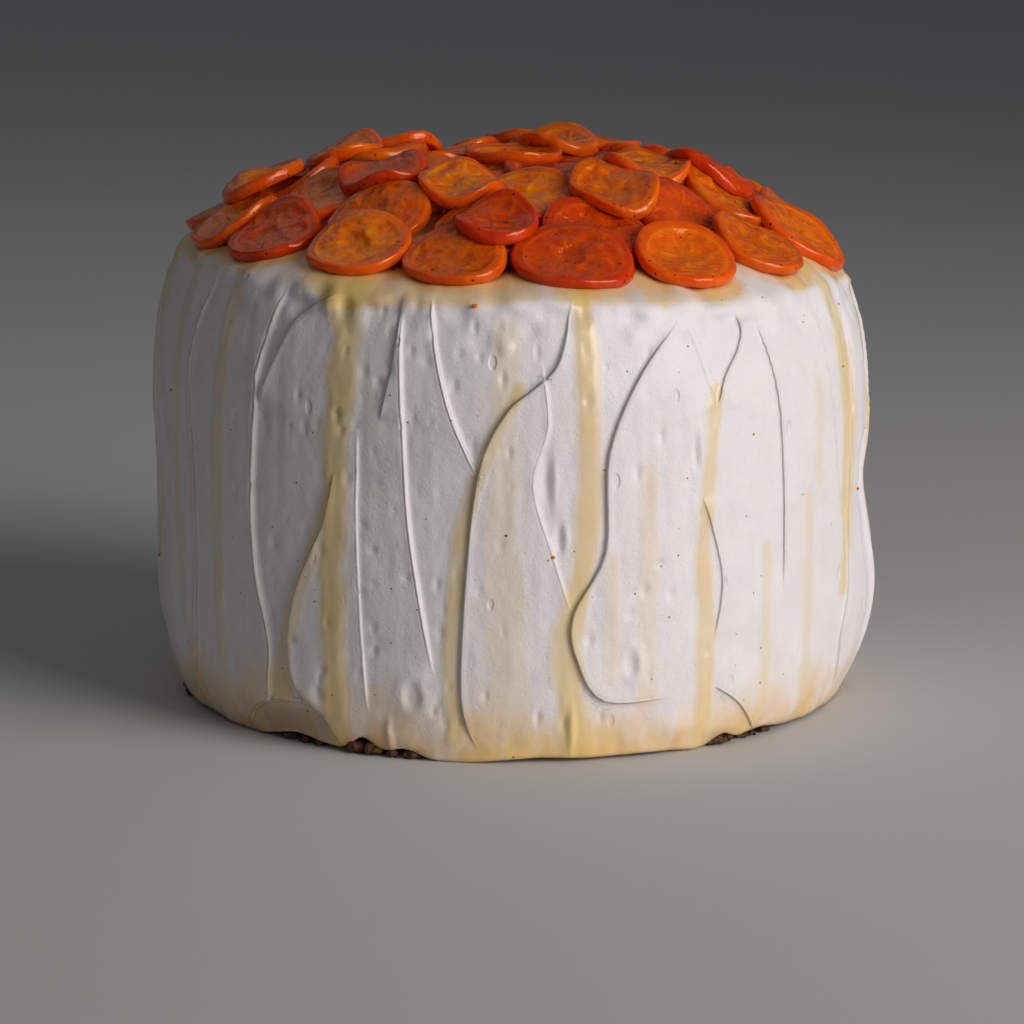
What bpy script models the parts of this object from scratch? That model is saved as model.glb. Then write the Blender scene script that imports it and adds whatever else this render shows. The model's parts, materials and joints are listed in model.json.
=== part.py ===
"""A tall round layer cake: a dark sponge foot, a coat of knife-stroked cream frosting over a gently
domed top, and candied kumquat slices shingled over the dome from the centre outwards.

Lengths are in millimetres and angles in degrees until a mesh is made. Angle 0 faces the front, -Y,
and grows towards +X. Height 0 is the surface that the cake stands on."""

import math
import random
from typing import NamedTuple

import bmesh
import bpy
import numpy as np
from mathutils import Matrix, Vector
from mathutils.bvhtree import BVHTree

MM = 0.001
TOUCH_GAP = 0.35

# Cake body
WIDEST_RADIUS = 83.4
WIDEST_HEIGHT = 50.0
SHOULDER_INSET = 6.0
SHOULDER_HEIGHT = 103.5
SHOULDER_TILT = 3.3
DOME_APEX = 117.8
DOME_POWER_SIDES = 4.6
DOME_POWER_FRONT = 1.9
DOME_FRONT_SPREAD = 64.0
FOOT_INSET_FRONT = 1.5
FOOT_INSET_SIDES = 6.0
FOOT_FRONT_SPREAD = 38.0

# Sponge that shows under the frosting's lower edge
SPONGE_RADIUS = 76.8
SPONGE_THICKNESS = 6.0
SPONGE_CRUMB = 0.5
SPONGE_BEVEL = 1.0
SPONGE_COLUMNS = 72
SPONGE_SEED = 3
POCKET_RADIUS = 77.7
POCKET_CEILING = 6.3
SKIRT_HEIGHT = 0.9
SKIRT_WAVE = 0.4

# Frosting mesh
FROSTING_COLUMNS = 110
WALL_ROWS = 20
DOME_SHARES = (0.975, 0.93, 0.86, 0.75, 0.58, 0.33)
EDGE_PULL = 0.7
EDGE_PULL_REACH = 2.8

# Knife strokes: how far a step stands out, and how it fades on its high and its low side
STEP_BLUR = 0.55
HIGH_SIDE_FADE = 11.0
LOW_SIDE_FADE = 7.0
LOW_SIDE_SHARE = 0.5
LIP_HEIGHT = 0.3
LIP_WIDTH = 0.8
EDGE_END_FADE = 0.14
POINTS_PER_SPAN = 5

# Candied slices
SLICE_THICKNESS = 2.9
SLICE_SEGMENTS = 14
SLICE_OUT_OF_ROUND = 0.035
SLICE_PROFILE = ((0.0, 0.0), (0.86, 0.0), (1.0, 0.45), (0.87, 1.0), (0.66, 0.78), (0.0, 0.7))
DEEP, ORANGE, AMBER = range(3)


class StrokeEdge(NamedTuple):
    """The edge of a knife stroke, from top to bottom. A positive step has its high side at greater angles."""

    points: tuple
    step: float


class Bump(NamedTuple):
    """A rounded lump, or a pit where its rise is negative."""

    angle: float
    height: float
    half_width: float
    half_height: float
    rise: float


class Slice(NamedTuple):
    """A slice: its angle and distance from the axis, its radius, and the tint of its peel."""

    angle: float
    distance: float
    radius: float
    tint: int


class SliceRing(NamedTuple):
    """A ring of slices: how many, at what distance from the axis, and the angle of its first slice."""

    count: int
    distance: float
    first_angle: float


# The front's stroke edges, as (angle, height) points on smooth curves
FRONT_EDGES = (
    StrokeEdge(((-57, 104), (-61, 80), (-59.5, 50), (-60, 22), (-64, 4)), -1.3),
    StrokeEdge(((-52, 98), (-54.5, 60), (-53, 25)), 0.6),
    StrokeEdge(((-39, 102), (-42, 88), (-44, 60), (-43.5, 40), (-40.5, 22), (-42, 7)), -1.4),
    StrokeEdge(((-29, 102), (-36, 96), (-40, 86), (-43, 75)), 1.3),
    StrokeEdge(((-28, 64), (-30, 52), (-35, 37), (-37, 25), (-36, 14), (-30, 8)), 1.4),
    StrokeEdge(((-24, 74), (-24, 45), (-22.8, 9)), -0.5),
    StrokeEdge(((-18, 102), (-18.5, 90), (-20.5, 76)), 1.0),
    StrokeEdge(((-17.5, 100), (-16.5, 72), (-15.5, 50), (-12, 19)), -1.2),
    StrokeEdge(((-13, 103), (-11.5, 90), (-9, 77), (-5, 64)), -1.4),
    StrokeEdge(((9.5, 104), (7, 90), (3, 84), (-1, 79), (-5, 67), (-7, 45), (-8, 15), (-5.5, 3)), 1.5),
    StrokeEdge(((4.5, 90), (5.5, 76), (3.2, 63), (6, 48), (9, 34)), -0.8),
    StrokeEdge(((28, 100), (20, 88), (14.5, 70), (14, 48), (9, 34), (9.5, 24), (14, 14), (26, 14)), 1.5),
    StrokeEdge(((39, 100), (38.5, 94), (35, 87), (33, 80)), 1.1),
    StrokeEdge(((29, 98), (31, 88), (33, 79)), -0.7),
    StrokeEdge(((30, 60), (33, 47), (34, 38), (32.5, 26)), 0.7),
    StrokeEdge(((42, 99), (45, 84), (46.5, 65), (47, 33)), 0.9),
    StrokeEdge(((33, 15), (38, 10), (43, 2)), 0.9),
    StrokeEdge(((-50, 0), (-45, 7), (-40, 9.5), (-33, 9), (-28, 1)), 1.3),
)

# The lumps and pits of the front
FRONT_BUMPS = (
    Bump(-43, 82, 2.2, 5, 1.0),
    Bump(5, 64, 1.1, 6, -0.9),
    Bump(-15.5, 15, 2.6, 5, 0.9),
    Bump(27, 6, 3.0, 3, 0.8),
    Bump(-38, 4, 7.0, 4, -1.2),
)

# The larger swells and waists of the sides
SIDE_SWELLS = (
    Bump(82, 27, 16, 13, 2.4),
    Bump(86, 54, 14, 8, -1.2),
    Bump(-92, 72, 18, 16, 0.9),
    Bump(-100, 30, 20, 14, 0.8),
    Bump(150, 64, 18, 16, 1.0),
    Bump(-150, 40, 20, 15, 0.9),
)

# Where the frosting's lower edge stops short and the sponge shows
SKIRT_NOTCHES = (
    Bump(-38, 0, 5, 1, 1.2),
    Bump(-24.5, 0, 2.4, 1, 3.0),
    Bump(-17, 0, 3, 1, 1.5),
    Bump(36, 0, 2.5, 1, 2.3),
    Bump(44, 0, 5, 1, 0.9),
    Bump(118, 0, 4, 1, 1.8),
    Bump(171, 0, 5, 1, 1.3),
    Bump(-132, 0, 4, 1, 1.9),
    Bump(-82, 0, 5, 1, 1.1),
)

# The unseen strokes: V-shaped troughs with one long edge between each pair
UNSEEN_START = 55.0
UNSEEN_END = 296.0
UNSEEN_TROUGHS = 12
UNSEEN_SEED = 12

# The slices inside the outer row, ring after ring, then those that fill what stays bare
INNER_RINGS = (
    SliceRing(5, 20.0, 30.0),
    SliceRing(1, 0.0, 0.0),
    SliceRing(9, 35.5, 4.0),
    SliceRing(13, 51.0, 20.0),
)
FILLING_SLICES = 9
FILLING_REACH = 42.0
FILLING_STEP = 2.5
FILLING_RADIUS = 10.2
INNER_RADIUS = 12.0
RADIUS_SCATTER = 0.5
ANGLE_SCATTER = 1.0
DISTANCE_SCATTER = 1.0
SLICE_SEED = 5

# The outer row, in the order in which it is laid, and the small slices on top of it
OUTER_ROW = (
    Slice(-11.5, 64.0, 11.4, AMBER),
    Slice(-54.5, 65.5, 12.0, DEEP),
    Slice(93.8, 66.5, 12.4, ORANGE),
    Slice(36.3, 64.5, 12.1, ORANGE),
    Slice(136.5, 66.0, 12.6, DEEP),
    Slice(179.2, 65.5, 12.0, ORANGE),
    Slice(-32.0, 64.0, 12.0, ORANGE),
    Slice(79.0, 66.5, 12.6, ORANGE),
    Slice(243.1, 66.0, 12.3, AMBER),
    Slice(200.5, 66.5, 12.5, ORANGE),
    Slice(115.2, 65.5, 11.9, AMBER),
    Slice(264.5, 66.5, 12.4, ORANGE),
    Slice(57.4, 65.0, 11.6, AMBER),
    Slice(157.8, 66.0, 12.2, DEEP),
    Slice(221.8, 65.0, 12.0, DEEP),
    Slice(285.8, 66.0, 12.2, ORANGE),
    Slice(12.0, 63.3, 13.4, DEEP),
    Slice(-88.0, 58.0, 10.5, ORANGE),
    Slice(88.0, 45.0, 11.4, DEEP),
    Slice(-4.0, 54.0, 9.6, DEEP),
)

# The grid of heights that slices are laid on
FIELD_HALF = 0.088
FIELD_STEP = 0.0006
FIELD_CELLS = round(2 * FIELD_HALF / FIELD_STEP) + 1

# How a slice may lie: steeper or flatter than its place asks, leaning sideways, and bent a little
SHINGLE_LEAN = 12.0
FIRST_SHINGLES = 25.0
LEAN_STEPS = (-6, -4, -2, 0, 2, 4, 6, 8)
SIDE_LEANS = (-10, -7, -4, -2, 0, 2, 4, 7, 10)
BENDS = (-0.6, 0.0, 0.6)
LEAN_COST = 0.06
SIDE_COST = 0.03
BEND_COST = 0.25


def smooth(share):
    """A smooth rise from 0 to 1 as share goes from 0 to 1."""
    held = np.clip(share, 0.0, 1.0)
    return held * held * (3 - 2 * held)


def turned(angle):
    """The angle brought between -180 and 180 degrees."""
    return (np.asarray(angle, float) + 180.0) % 360.0 - 180.0


def arc_length(angle):
    """Degrees of angle as millimetres along the cake's widest circle."""
    return np.radians(angle) * WIDEST_RADIUS


def smooth_path(points):
    """A Catmull-Rom curve through the points, as an array of (arc length, height)."""
    knots = [(arc_length(angle), height) for angle, height in points]
    ends = [knots[0], *knots, knots[-1]]
    path = []
    for before, start, end, after in zip(ends, ends[1:], ends[2:], ends[3:]):
        before, start, end, after = (np.array(p, float) for p in (before, start, end, after))
        for step in range(POINTS_PER_SPAN):
            t = step / POINTS_PER_SPAN
            path.append(0.5 * (2 * start + (end - before) * t
                               + (2 * before - 5 * start + 4 * end - after) * t ** 2
                               + (3 * start - before - 3 * end + after) * t ** 3))
    path.append(np.array(knots[-1], float))
    return np.array(path)


def beside_path(path, arc, height):
    """Signed distance from a path, positive on its left as one goes along, the share of the way, and the
    step from each point to the nearest point of the path."""
    distance = np.full(arc.shape, 1e9)
    along = np.zeros(arc.shape)
    step_x, step_y = np.zeros(arc.shape), np.zeros(arc.shape)
    spans = len(path) - 1
    for index in range(spans):
        start, run = path[index], path[index + 1] - path[index]
        across_x, across_y = arc - start[0], height - start[1]
        share = np.clip((across_x * run[0] + across_y * run[1]) / (run @ run), 0, 1)
        off_x, off_y = across_x - share * run[0], across_y - share * run[1]
        gap = np.hypot(off_x, off_y)
        side = np.sign(run[0] * off_y - run[1] * off_x)
        nearer = gap < np.abs(distance)
        distance = np.where(nearer, gap * side, distance)
        along = np.where(nearer, (index + share) / spans, along)
        step_x, step_y = np.where(nearer, -off_x, step_x), np.where(nearer, -off_y, step_y)
    return distance, along, step_x, step_y


def edge_fade(along):
    """How strongly an edge shows along its length: it dies away at both ends."""
    return smooth(along / EDGE_END_FADE) * smooth((1 - along) / EDGE_END_FADE)


def unseen_edges():
    """The stroke edges of the sides and the back."""
    draw = random.Random(UNSEEN_SEED)
    spacing = (UNSEEN_END - UNSEEN_START) / UNSEEN_TROUGHS
    edges = []
    for index in range(UNSEEN_TROUGHS):
        middle = UNSEEN_START + spacing * (index + 0.5) + draw.uniform(-2, 2)
        half = spacing * draw.uniform(0.26, 0.38)
        lean = draw.uniform(-4, 4)
        meeting = draw.uniform(28, 66)
        foot = draw.uniform(3, 14)
        left = ((middle - half, 102), (middle - half * 0.8, 86), (middle + lean, meeting))
        right = ((middle + half, 103), (middle + half * 0.7, 88), (middle + lean + 0.6, meeting + 2),
                 (middle + lean - 1.5, (meeting + foot) / 2), (middle + lean * 1.4, foot))
        between = middle + spacing / 2
        sway = draw.uniform(-2.5, 2.5)
        long_edge = ((between, draw.uniform(96, 102)), (between + sway, 70),
                     (between + sway * 1.6, 40), (between - sway, draw.uniform(8, 24)))
        edges.append(StrokeEdge(left, -draw.uniform(0.9, 1.4)))
        edges.append(StrokeEdge(right, draw.uniform(1.0, 1.5)))
        edges.append(StrokeEdge(long_edge, draw.choice((-1, 1)) * draw.uniform(0.6, 1.1)))
    return edges


EDGES = [(smooth_path(edge.points), edge.step) for edge in (*FRONT_EDGES, *unseen_edges())]


def from_edge(path, angle, height):
    """beside_path on the round wall, where the way to a path is measured the short way round."""
    middle = path[:, 0].mean()
    arc = middle + arc_length(turned(angle - np.degrees(middle / WIDEST_RADIUS)))
    return beside_path(path, arc, height)


def stroke_relief(angle, height):
    """How far the knife strokes raise or sink the frosting."""
    relief = np.zeros(angle.shape)
    for path, step in EDGES:
        distance, along, _, _ = from_edge(path, angle, height)
        if step < 0:
            distance = -distance
        high_share = 0.5 * (1 + np.tanh(distance / STEP_BLUR))
        high = high_share * np.exp(-np.clip(distance, 0, None) / HIGH_SIDE_FADE)
        low = (1 - high_share) * np.exp(np.clip(distance, None, 0) / LOW_SIDE_FADE)
        lip = LIP_HEIGHT * np.exp(-((distance - LIP_WIDTH) / LIP_WIDTH) ** 2)
        relief += abs(step) * edge_fade(along) * (high - LOW_SIDE_SHARE * low + lip)
    return relief


def bump_relief(bumps, angle, height):
    """The rise of rounded lumps, pits and swells."""
    relief = np.zeros(angle.shape)
    for bump in bumps:
        across = turned(angle - bump.angle) / bump.half_width
        up = (height - bump.height) / bump.half_height
        relief += bump.rise * np.exp(-(across ** 2 + up ** 2))
    return relief


def shoulder_height(angle):
    """The height of the shoulder, where the wall turns over into the top: it leans a little to the right."""
    slant = -SHOULDER_TILT * np.sin(np.radians(angle))
    return SHOULDER_HEIGHT + slant + 0.35 * np.sin(np.radians(angle * 7 + 40))


def dome_power(angle):
    """How full the dome is: flat on top and steep at its edge at the sides, falling sooner in front."""
    front = np.exp(-(turned(angle) / DOME_FRONT_SPREAD) ** 2)
    return DOME_POWER_SIDES + (DOME_POWER_FRONT - DOME_POWER_SIDES) * front


def wall_radius(angle, height):
    """The frosting's radius on the wall."""
    level = height * SHOULDER_HEIGHT / shoulder_height(angle)
    above = np.clip((level - WIDEST_HEIGHT) / (SHOULDER_HEIGHT - WIDEST_HEIGHT), 0, 1)
    below = np.clip((WIDEST_HEIGHT - level) / WIDEST_HEIGHT, 0, 1)
    front = np.exp(-(turned(angle) / FOOT_FRONT_SPREAD) ** 2)
    foot_inset = FOOT_INSET_SIDES + (FOOT_INSET_FRONT - FOOT_INSET_SIDES) * front
    plain = WIDEST_RADIUS - SHOULDER_INSET * above ** 4 - foot_inset * below ** 6
    relief = stroke_relief(angle, level) + bump_relief(FRONT_BUMPS, angle, level)
    return plain + bump_relief(SIDE_SWELLS, angle, level) + relief


def skirt_height(angle):
    """How far the frosting's lower edge stays off the ground, which leaves the sponge to show."""
    wave = np.sin(np.radians(angle * 9)) + 0.7 * np.sin(np.radians(angle * 17 + 60))
    return SKIRT_HEIGHT + SKIRT_WAVE * wave + bump_relief(SKIRT_NOTCHES, angle, np.zeros(angle.shape))


def pulled_to_edges(angle, height):
    """Points of the wall drawn towards the nearest stroke edges, so that few facets show crisp steps."""
    pull_x, pull_y = np.zeros(angle.shape), np.zeros(angle.shape)
    total = np.zeros(angle.shape)
    for path, _ in EDGES:
        distance, along, step_x, step_y = from_edge(path, angle, height)
        weight = np.exp(-(distance / EDGE_PULL_REACH) ** 2) * edge_fade(along)
        pull_x += weight * step_x
        pull_y += weight * step_y
        total += weight
    share = EDGE_PULL / np.maximum(total, 1)
    return angle + np.degrees(pull_x * share / WIDEST_RADIUS), height + pull_y * share


def on_circle(radius, angle, height):
    """Points in metres at a radius, an angle and a height."""
    turn = np.radians(angle)
    return np.stack([radius * np.sin(turn), -radius * np.cos(turn), height + 0 * turn], axis=-1) * MM


def frosting_rows():
    """The frosting's rows of points, from the pocket's middle round the wall to the top's middle."""
    even = np.arange(FROSTING_COLUMNS) / FROSTING_COLUMNS * 360 - 180
    skirt = skirt_height(even)
    shoulder = shoulder_height(even)
    rows = [on_circle(0 * even, even, POCKET_CEILING),
            on_circle(POCKET_RADIUS, even, POCKET_CEILING),
            on_circle(POCKET_RADIUS, even, skirt)]
    for row in range(WALL_ROWS + 1):
        share = row / WALL_ROWS
        angles, heights = even, skirt * (1 - share) + shoulder * share
        if 0 < row < WALL_ROWS:
            angles, heights = pulled_to_edges(angles, heights)
        rows.append(on_circle(wall_radius(angles, heights), angles, heights))
    shoulder_radii = wall_radius(even, shoulder)
    for share in DOME_SHARES:
        heights = shoulder + (DOME_APEX - shoulder) * (1 - share ** dome_power(even))
        rows.append(on_circle(shoulder_radii * share, even, heights))
    rows.append(on_circle(0 * even, even, DOME_APEX))
    return rows


def spun_mesh(name, profile, columns):
    """A closed mesh spun from a profile of (radius, height) that starts and ends on the axis, with the
    row and column of each vertex."""
    shape = bmesh.new()
    corners = [shape.verts.new((0, -radius, height)) for radius, height in profile]
    for first, second in zip(corners, corners[1:]):
        shape.edges.new((first, second))
    bmesh.ops.spin(shape, geom=shape.verts[:] + shape.edges[:], cent=(0, 0, 0), axis=(0, 0, 1),
                   angle=math.tau, steps=columns, use_merge=True)
    bmesh.ops.remove_doubles(shape, verts=shape.verts[:], dist=1e-7)
    bmesh.ops.recalc_face_normals(shape, faces=shape.faces[:])
    places = []
    for vert in shape.verts:
        radius = math.hypot(vert.co.x, vert.co.y)
        row = min(range(len(profile)),
                  key=lambda r: abs(profile[r][0] - radius) + abs(profile[r][1] - vert.co.z))
        turn = math.degrees(math.atan2(vert.co.x, -vert.co.y)) + 180
        places.append((row, round(turn / 360 * columns) % columns))
    mesh = bpy.data.meshes.new(name)
    shape.to_mesh(mesh)
    shape.free()
    return mesh, places


def made_object(name, mesh, material):
    """An object in the scene, with flat facets smoothed."""
    mesh.materials.append(material)
    mesh.shade_smooth()
    obj = bpy.data.objects.new(name, mesh)
    bpy.context.scene.collection.objects.link(obj)
    return obj


def finish(name, colour, roughness):
    """A plain material of one colour."""
    material = bpy.data.materials.new(name)
    material.use_nodes = True
    shader = material.node_tree.nodes["Principled BSDF"]
    shader.inputs["Base Color"].default_value = (*colour, 1.0)
    shader.inputs["Roughness"].default_value = roughness
    shader.inputs["Metallic"].default_value = 0.0
    return material


def make_frosting():
    """The frosted body, with a shallow pocket below for the sponge that shows."""
    rows = frosting_rows()
    last = len(rows) - 1
    profile = [(0.0 if row in (0, last) else 1.0, float(row)) for row in range(len(rows))]
    mesh, places = spun_mesh("frosting", profile, FROSTING_COLUMNS)
    for vert, (row, column) in zip(mesh.vertices, places):
        vert.co = rows[row][column]
    mesh.update()
    return made_object("frosting", mesh, finish("cream frosting", (0.86, 0.83, 0.80), 0.55))


def make_sponge():
    """The foot of the sponge, with a crumbly rim."""
    inner = SPONGE_RADIUS - SPONGE_BEVEL
    profile = [(0, 0), (inner, 0), (SPONGE_RADIUS, SPONGE_BEVEL),
               (SPONGE_RADIUS, SPONGE_THICKNESS - SPONGE_BEVEL),
               (inner, SPONGE_THICKNESS), (0, SPONGE_THICKNESS)]
    mesh, places = spun_mesh("sponge_base", profile, SPONGE_COLUMNS)
    draw = random.Random(SPONGE_SEED)
    crumb = [draw.uniform(-SPONGE_CRUMB, SPONGE_CRUMB) for _ in range(SPONGE_COLUMNS)]
    for vert, (row, column) in zip(mesh.vertices, places):
        radius, height = profile[row]
        if radius:
            radius += crumb[column * (1 + row % 2) % SPONGE_COLUMNS]
        vert.co = on_circle(radius, column / SPONGE_COLUMNS * 360 - 180, height)
    mesh.update()
    return made_object("sponge_base", mesh, finish("dark sponge", (0.10, 0.045, 0.02), 0.9))


def slice_mesh(name, radius, bends, phase):
    """One candied slice: a plump rim of peel round a sunken middle, bent as it lies on what is under it.
    Its -Y points outwards on the dome."""
    profile = [(out * radius, up * SLICE_THICKNESS) for out, up in SLICE_PROFILE]
    mesh, places = spun_mesh(name, profile, SLICE_SEGMENTS)
    for vert, (row, column) in zip(mesh.vertices, places):
        turn = column / SLICE_SEGMENTS * math.tau
        out = profile[row][0] * (1 + SLICE_OUT_OF_ROUND * math.cos(2 * turn + phase))
        across, up = out * math.cos(turn), out * math.sin(turn)
        sag = (bends[0] * up ** 2 + bends[1] * across ** 2) / radius ** 2
        vert.co = Vector((across, up, profile[row][1] + sag)) * MM
    mesh.update()
    return mesh


def lean_matrix(angle, lean, side):
    """A turn that leans a slice's face outwards by lean, and sideways by side."""
    outward = Matrix.Rotation(math.radians(angle), 4, "Z")
    tipped = Matrix.Rotation(math.radians(lean), 4, "X") @ Matrix.Rotation(math.radians(side), 4, "Y")
    return outward @ tipped


def tree_of(mesh, matrix):
    """A mesh's faces, moved by the matrix, for casting rays at."""
    return BVHTree.FromPolygons([matrix @ vert.co for vert in mesh.vertices],
                                [tuple(face.vertices) for face in mesh.polygons])


def field_patch(place, reach):
    """The range of grid cells around a place, and their positions."""
    low = [max(0, math.floor((value - reach + FIELD_HALF) / FIELD_STEP)) for value in place]
    high = [min(FIELD_CELLS, math.ceil((value + reach + FIELD_HALF) / FIELD_STEP) + 1) for value in place]
    cells = (slice(low[0], high[0]), slice(low[1], high[1]))
    across = np.arange(low[0], high[0]) * FIELD_STEP - FIELD_HALF
    up = np.arange(low[1], high[1]) * FIELD_STEP - FIELD_HALF
    return cells, *np.meshgrid(across, up, indexing="ij")


def cast_heights(tree, across, up, start, way):
    """The height at which a ray along the vertical first meets the tree, in each cell, or nan."""
    heights = np.full(across.shape, np.nan)
    for cell in np.ndindex(across.shape):
        found = tree.ray_cast(Vector((across[cell], up[cell], start)), Vector((0, 0, way)))
        if found[0] is not None:
            heights[cell] = found[0].z
    return heights


def widened(field):
    """Each cell given the greatest height of itself and its neighbours."""
    padded = np.pad(field, 1, mode="edge")
    rows, columns = field.shape
    return np.max([padded[i:i + rows, j:j + columns] for i in range(3) for j in range(3)], axis=0)


def dome_lean(angle, distance):
    """How steeply the dome falls at a place on it."""
    radius = WIDEST_RADIUS - SHOULDER_INSET
    power = dome_power(angle)
    share = (distance / radius) ** (power - 1)
    return math.degrees(math.atan((DOME_APEX - SHOULDER_HEIGHT) * power / radius * share))


def clearance(ground, outward, sideways, radius, lean, side, bends):
    """How high a slice's middle must be to clear the ground, with its underside worked out per cell."""
    slope = -np.tan(math.radians(lean)) * outward - np.tan(math.radians(side)) * sideways
    share = np.sqrt(outward ** 2 + sideways ** 2 + slope ** 2) / radius
    _, (flat, _), (rim, rim_height), *_ = SLICE_PROFILE
    chamfer = np.clip((share - flat) / (rim - flat), 0, 1) * rim_height * SLICE_THICKNESS
    sag = (bends[0] * outward ** 2 + bends[1] * sideways ** 2) / radius ** 2
    return np.max((ground - slope - sag - chamfer)[share < 1])


def best_lie(piece, ground, outward, sideways):
    """The lean, side lean and bends with which a slice lies low without leaning or bending too much."""
    asked = dome_lean(piece.angle, piece.distance) + (SHINGLE_LEAN if piece.distance > FIRST_SHINGLES else 0)
    best = None
    for step in LEAN_STEPS:
        for side in SIDE_LEANS:
            for bends in ((a, b) for a in BENDS for b in BENDS):
                cost = clearance(ground, outward, sideways, piece.radius, asked + step, side, bends)
                cost += LEAN_COST * abs(step) + SIDE_COST * abs(side)
                cost += BEND_COST * (abs(bends[0]) + abs(bends[1]))
                if best is None or cost < best[0]:
                    best = (cost, asked + step, side, bends)
    return best[1:]


def lay_slice(name, piece, field, phase):
    """Makes a slice's mesh and finds how it lies on the field of heights."""
    turn = math.radians(piece.angle)
    place = np.array([math.sin(turn), -math.cos(turn)]) * piece.distance * MM
    cells, across, up = field_patch(place, piece.radius * MM * 1.1)
    ground = widened(field[cells])
    right, back = (across - place[0]) / MM, (up - place[1]) / MM
    outward = right * math.sin(turn) - back * math.cos(turn)
    sideways = right * math.cos(turn) + back * math.sin(turn)
    lean, side, bends = best_lie(piece, (ground / MM)[::2, ::2], outward[::2, ::2], sideways[::2, ::2])
    mesh = slice_mesh(name, piece.radius, bends, phase)
    matrix = Matrix.Translation((place[0], place[1], 0)) @ lean_matrix(piece.angle, lean, side)
    under = cast_heights(tree_of(mesh, matrix), across, up, -1.0, 1)
    lift = np.nanmax(ground - under) + TOUCH_GAP * MM
    matrix = Matrix.Translation((0, 0, lift)) @ matrix
    over = cast_heights(tree_of(mesh, matrix), across, up, 1.0, -1)
    field[cells] = np.fmax(field[cells], over)
    return mesh, matrix


def ring_slices(ring, draw):
    """The slices of one ring, in the order in which they are laid."""
    laid = []
    for index in range(ring.count):
        angle = ring.first_angle + index * 360 / ring.count + draw.uniform(-1, 1) * ANGLE_SCATTER
        distance = ring.distance + draw.uniform(-1, 1) * (DISTANCE_SCATTER if ring.distance else 0)
        radius = INNER_RADIUS + draw.uniform(-1, 1) * RADIUS_SCATTER
        laid.append(Slice(angle, distance, radius, draw.choice((DEEP, ORANGE, ORANGE, AMBER))))
    draw.shuffle(laid)
    return laid


def filling_slice(bare, draw):
    """A slice over the largest hole that the slices before it have left bare."""
    _, across, up = field_patch((0, 0), FIELD_HALF)
    across, up = across[bare], up[bare]
    steps = np.arange(-FILLING_REACH, FILLING_REACH, FILLING_STEP) * MM
    spots = [(x, y) for x in steps for y in steps if math.hypot(x, y) < FILLING_REACH * MM]
    covered = [(np.hypot(across - x, up - y) < FILLING_RADIUS * MM).sum() for x, y in spots]
    x, y = spots[int(np.argmax(covered))]
    distance = math.hypot(x, y) / MM
    tint = draw.choice((DEEP, ORANGE, AMBER))
    return Slice(math.degrees(math.atan2(x, -y)), distance, FILLING_RADIUS, tint)


def slices_in_order(field, draw):
    """Every slice in the order in which it is laid, while the field of heights fills up under them."""
    plain = field.copy()
    for ring in INNER_RINGS:
        yield from ring_slices(ring, draw)
    for _ in range(FILLING_SLICES):
        yield filling_slice((field == plain) & (field > 0), draw)
    yield from OUTER_ROW


def make_slices(frosting):
    """The candied slices, each laid on the dome and on the slices before it."""
    draw = random.Random(SLICE_SEED)
    peels = [finish("kumquat deep", (0.62, 0.12, 0.01), 0.25),
             finish("kumquat orange", (0.78, 0.24, 0.015), 0.25),
             finish("kumquat amber", (0.72, 0.34, 0.03), 0.25)]
    _, across, up = field_patch((0, 0), FIELD_HALF)
    field = cast_heights(tree_of(frosting.data, Matrix.Identity(4)), across, up, 1.0, -1)
    field = np.nan_to_num(field)
    for number, piece in enumerate(slices_in_order(field, draw), 1):
        name = f"kumquat_slice_{number:02d}"
        mesh, matrix = lay_slice(name, piece, field, draw.uniform(0, math.tau))
        laid = made_object(name, mesh, peels[piece.tint])
        laid.location = matrix.to_translation()
        laid.rotation_euler = matrix.to_euler()


def main():
    for obj in list(bpy.data.objects):
        bpy.data.objects.remove(obj)
    make_sponge()
    frosting = make_frosting()
    make_slices(frosting)


main()
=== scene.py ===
"""The looks of a tall parsnip cake: knife-stroked cream frosting with runs of syrup, a dark sponge foot
and candied kumquat slices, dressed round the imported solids.

Lengths are in millimetres and angles in degrees until a mesh is made. Angle 0 faces the front, -Y,
and grows towards +X. Height 0 is the surface that the cake stands on."""

import json
import math
import random
from typing import NamedTuple

import bmesh
import bpy
import numpy as np
from bpy.props import FloatProperty, FloatVectorProperty, IntProperty, PointerProperty
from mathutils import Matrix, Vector
from mathutils.bvhtree import BVHTree


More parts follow.
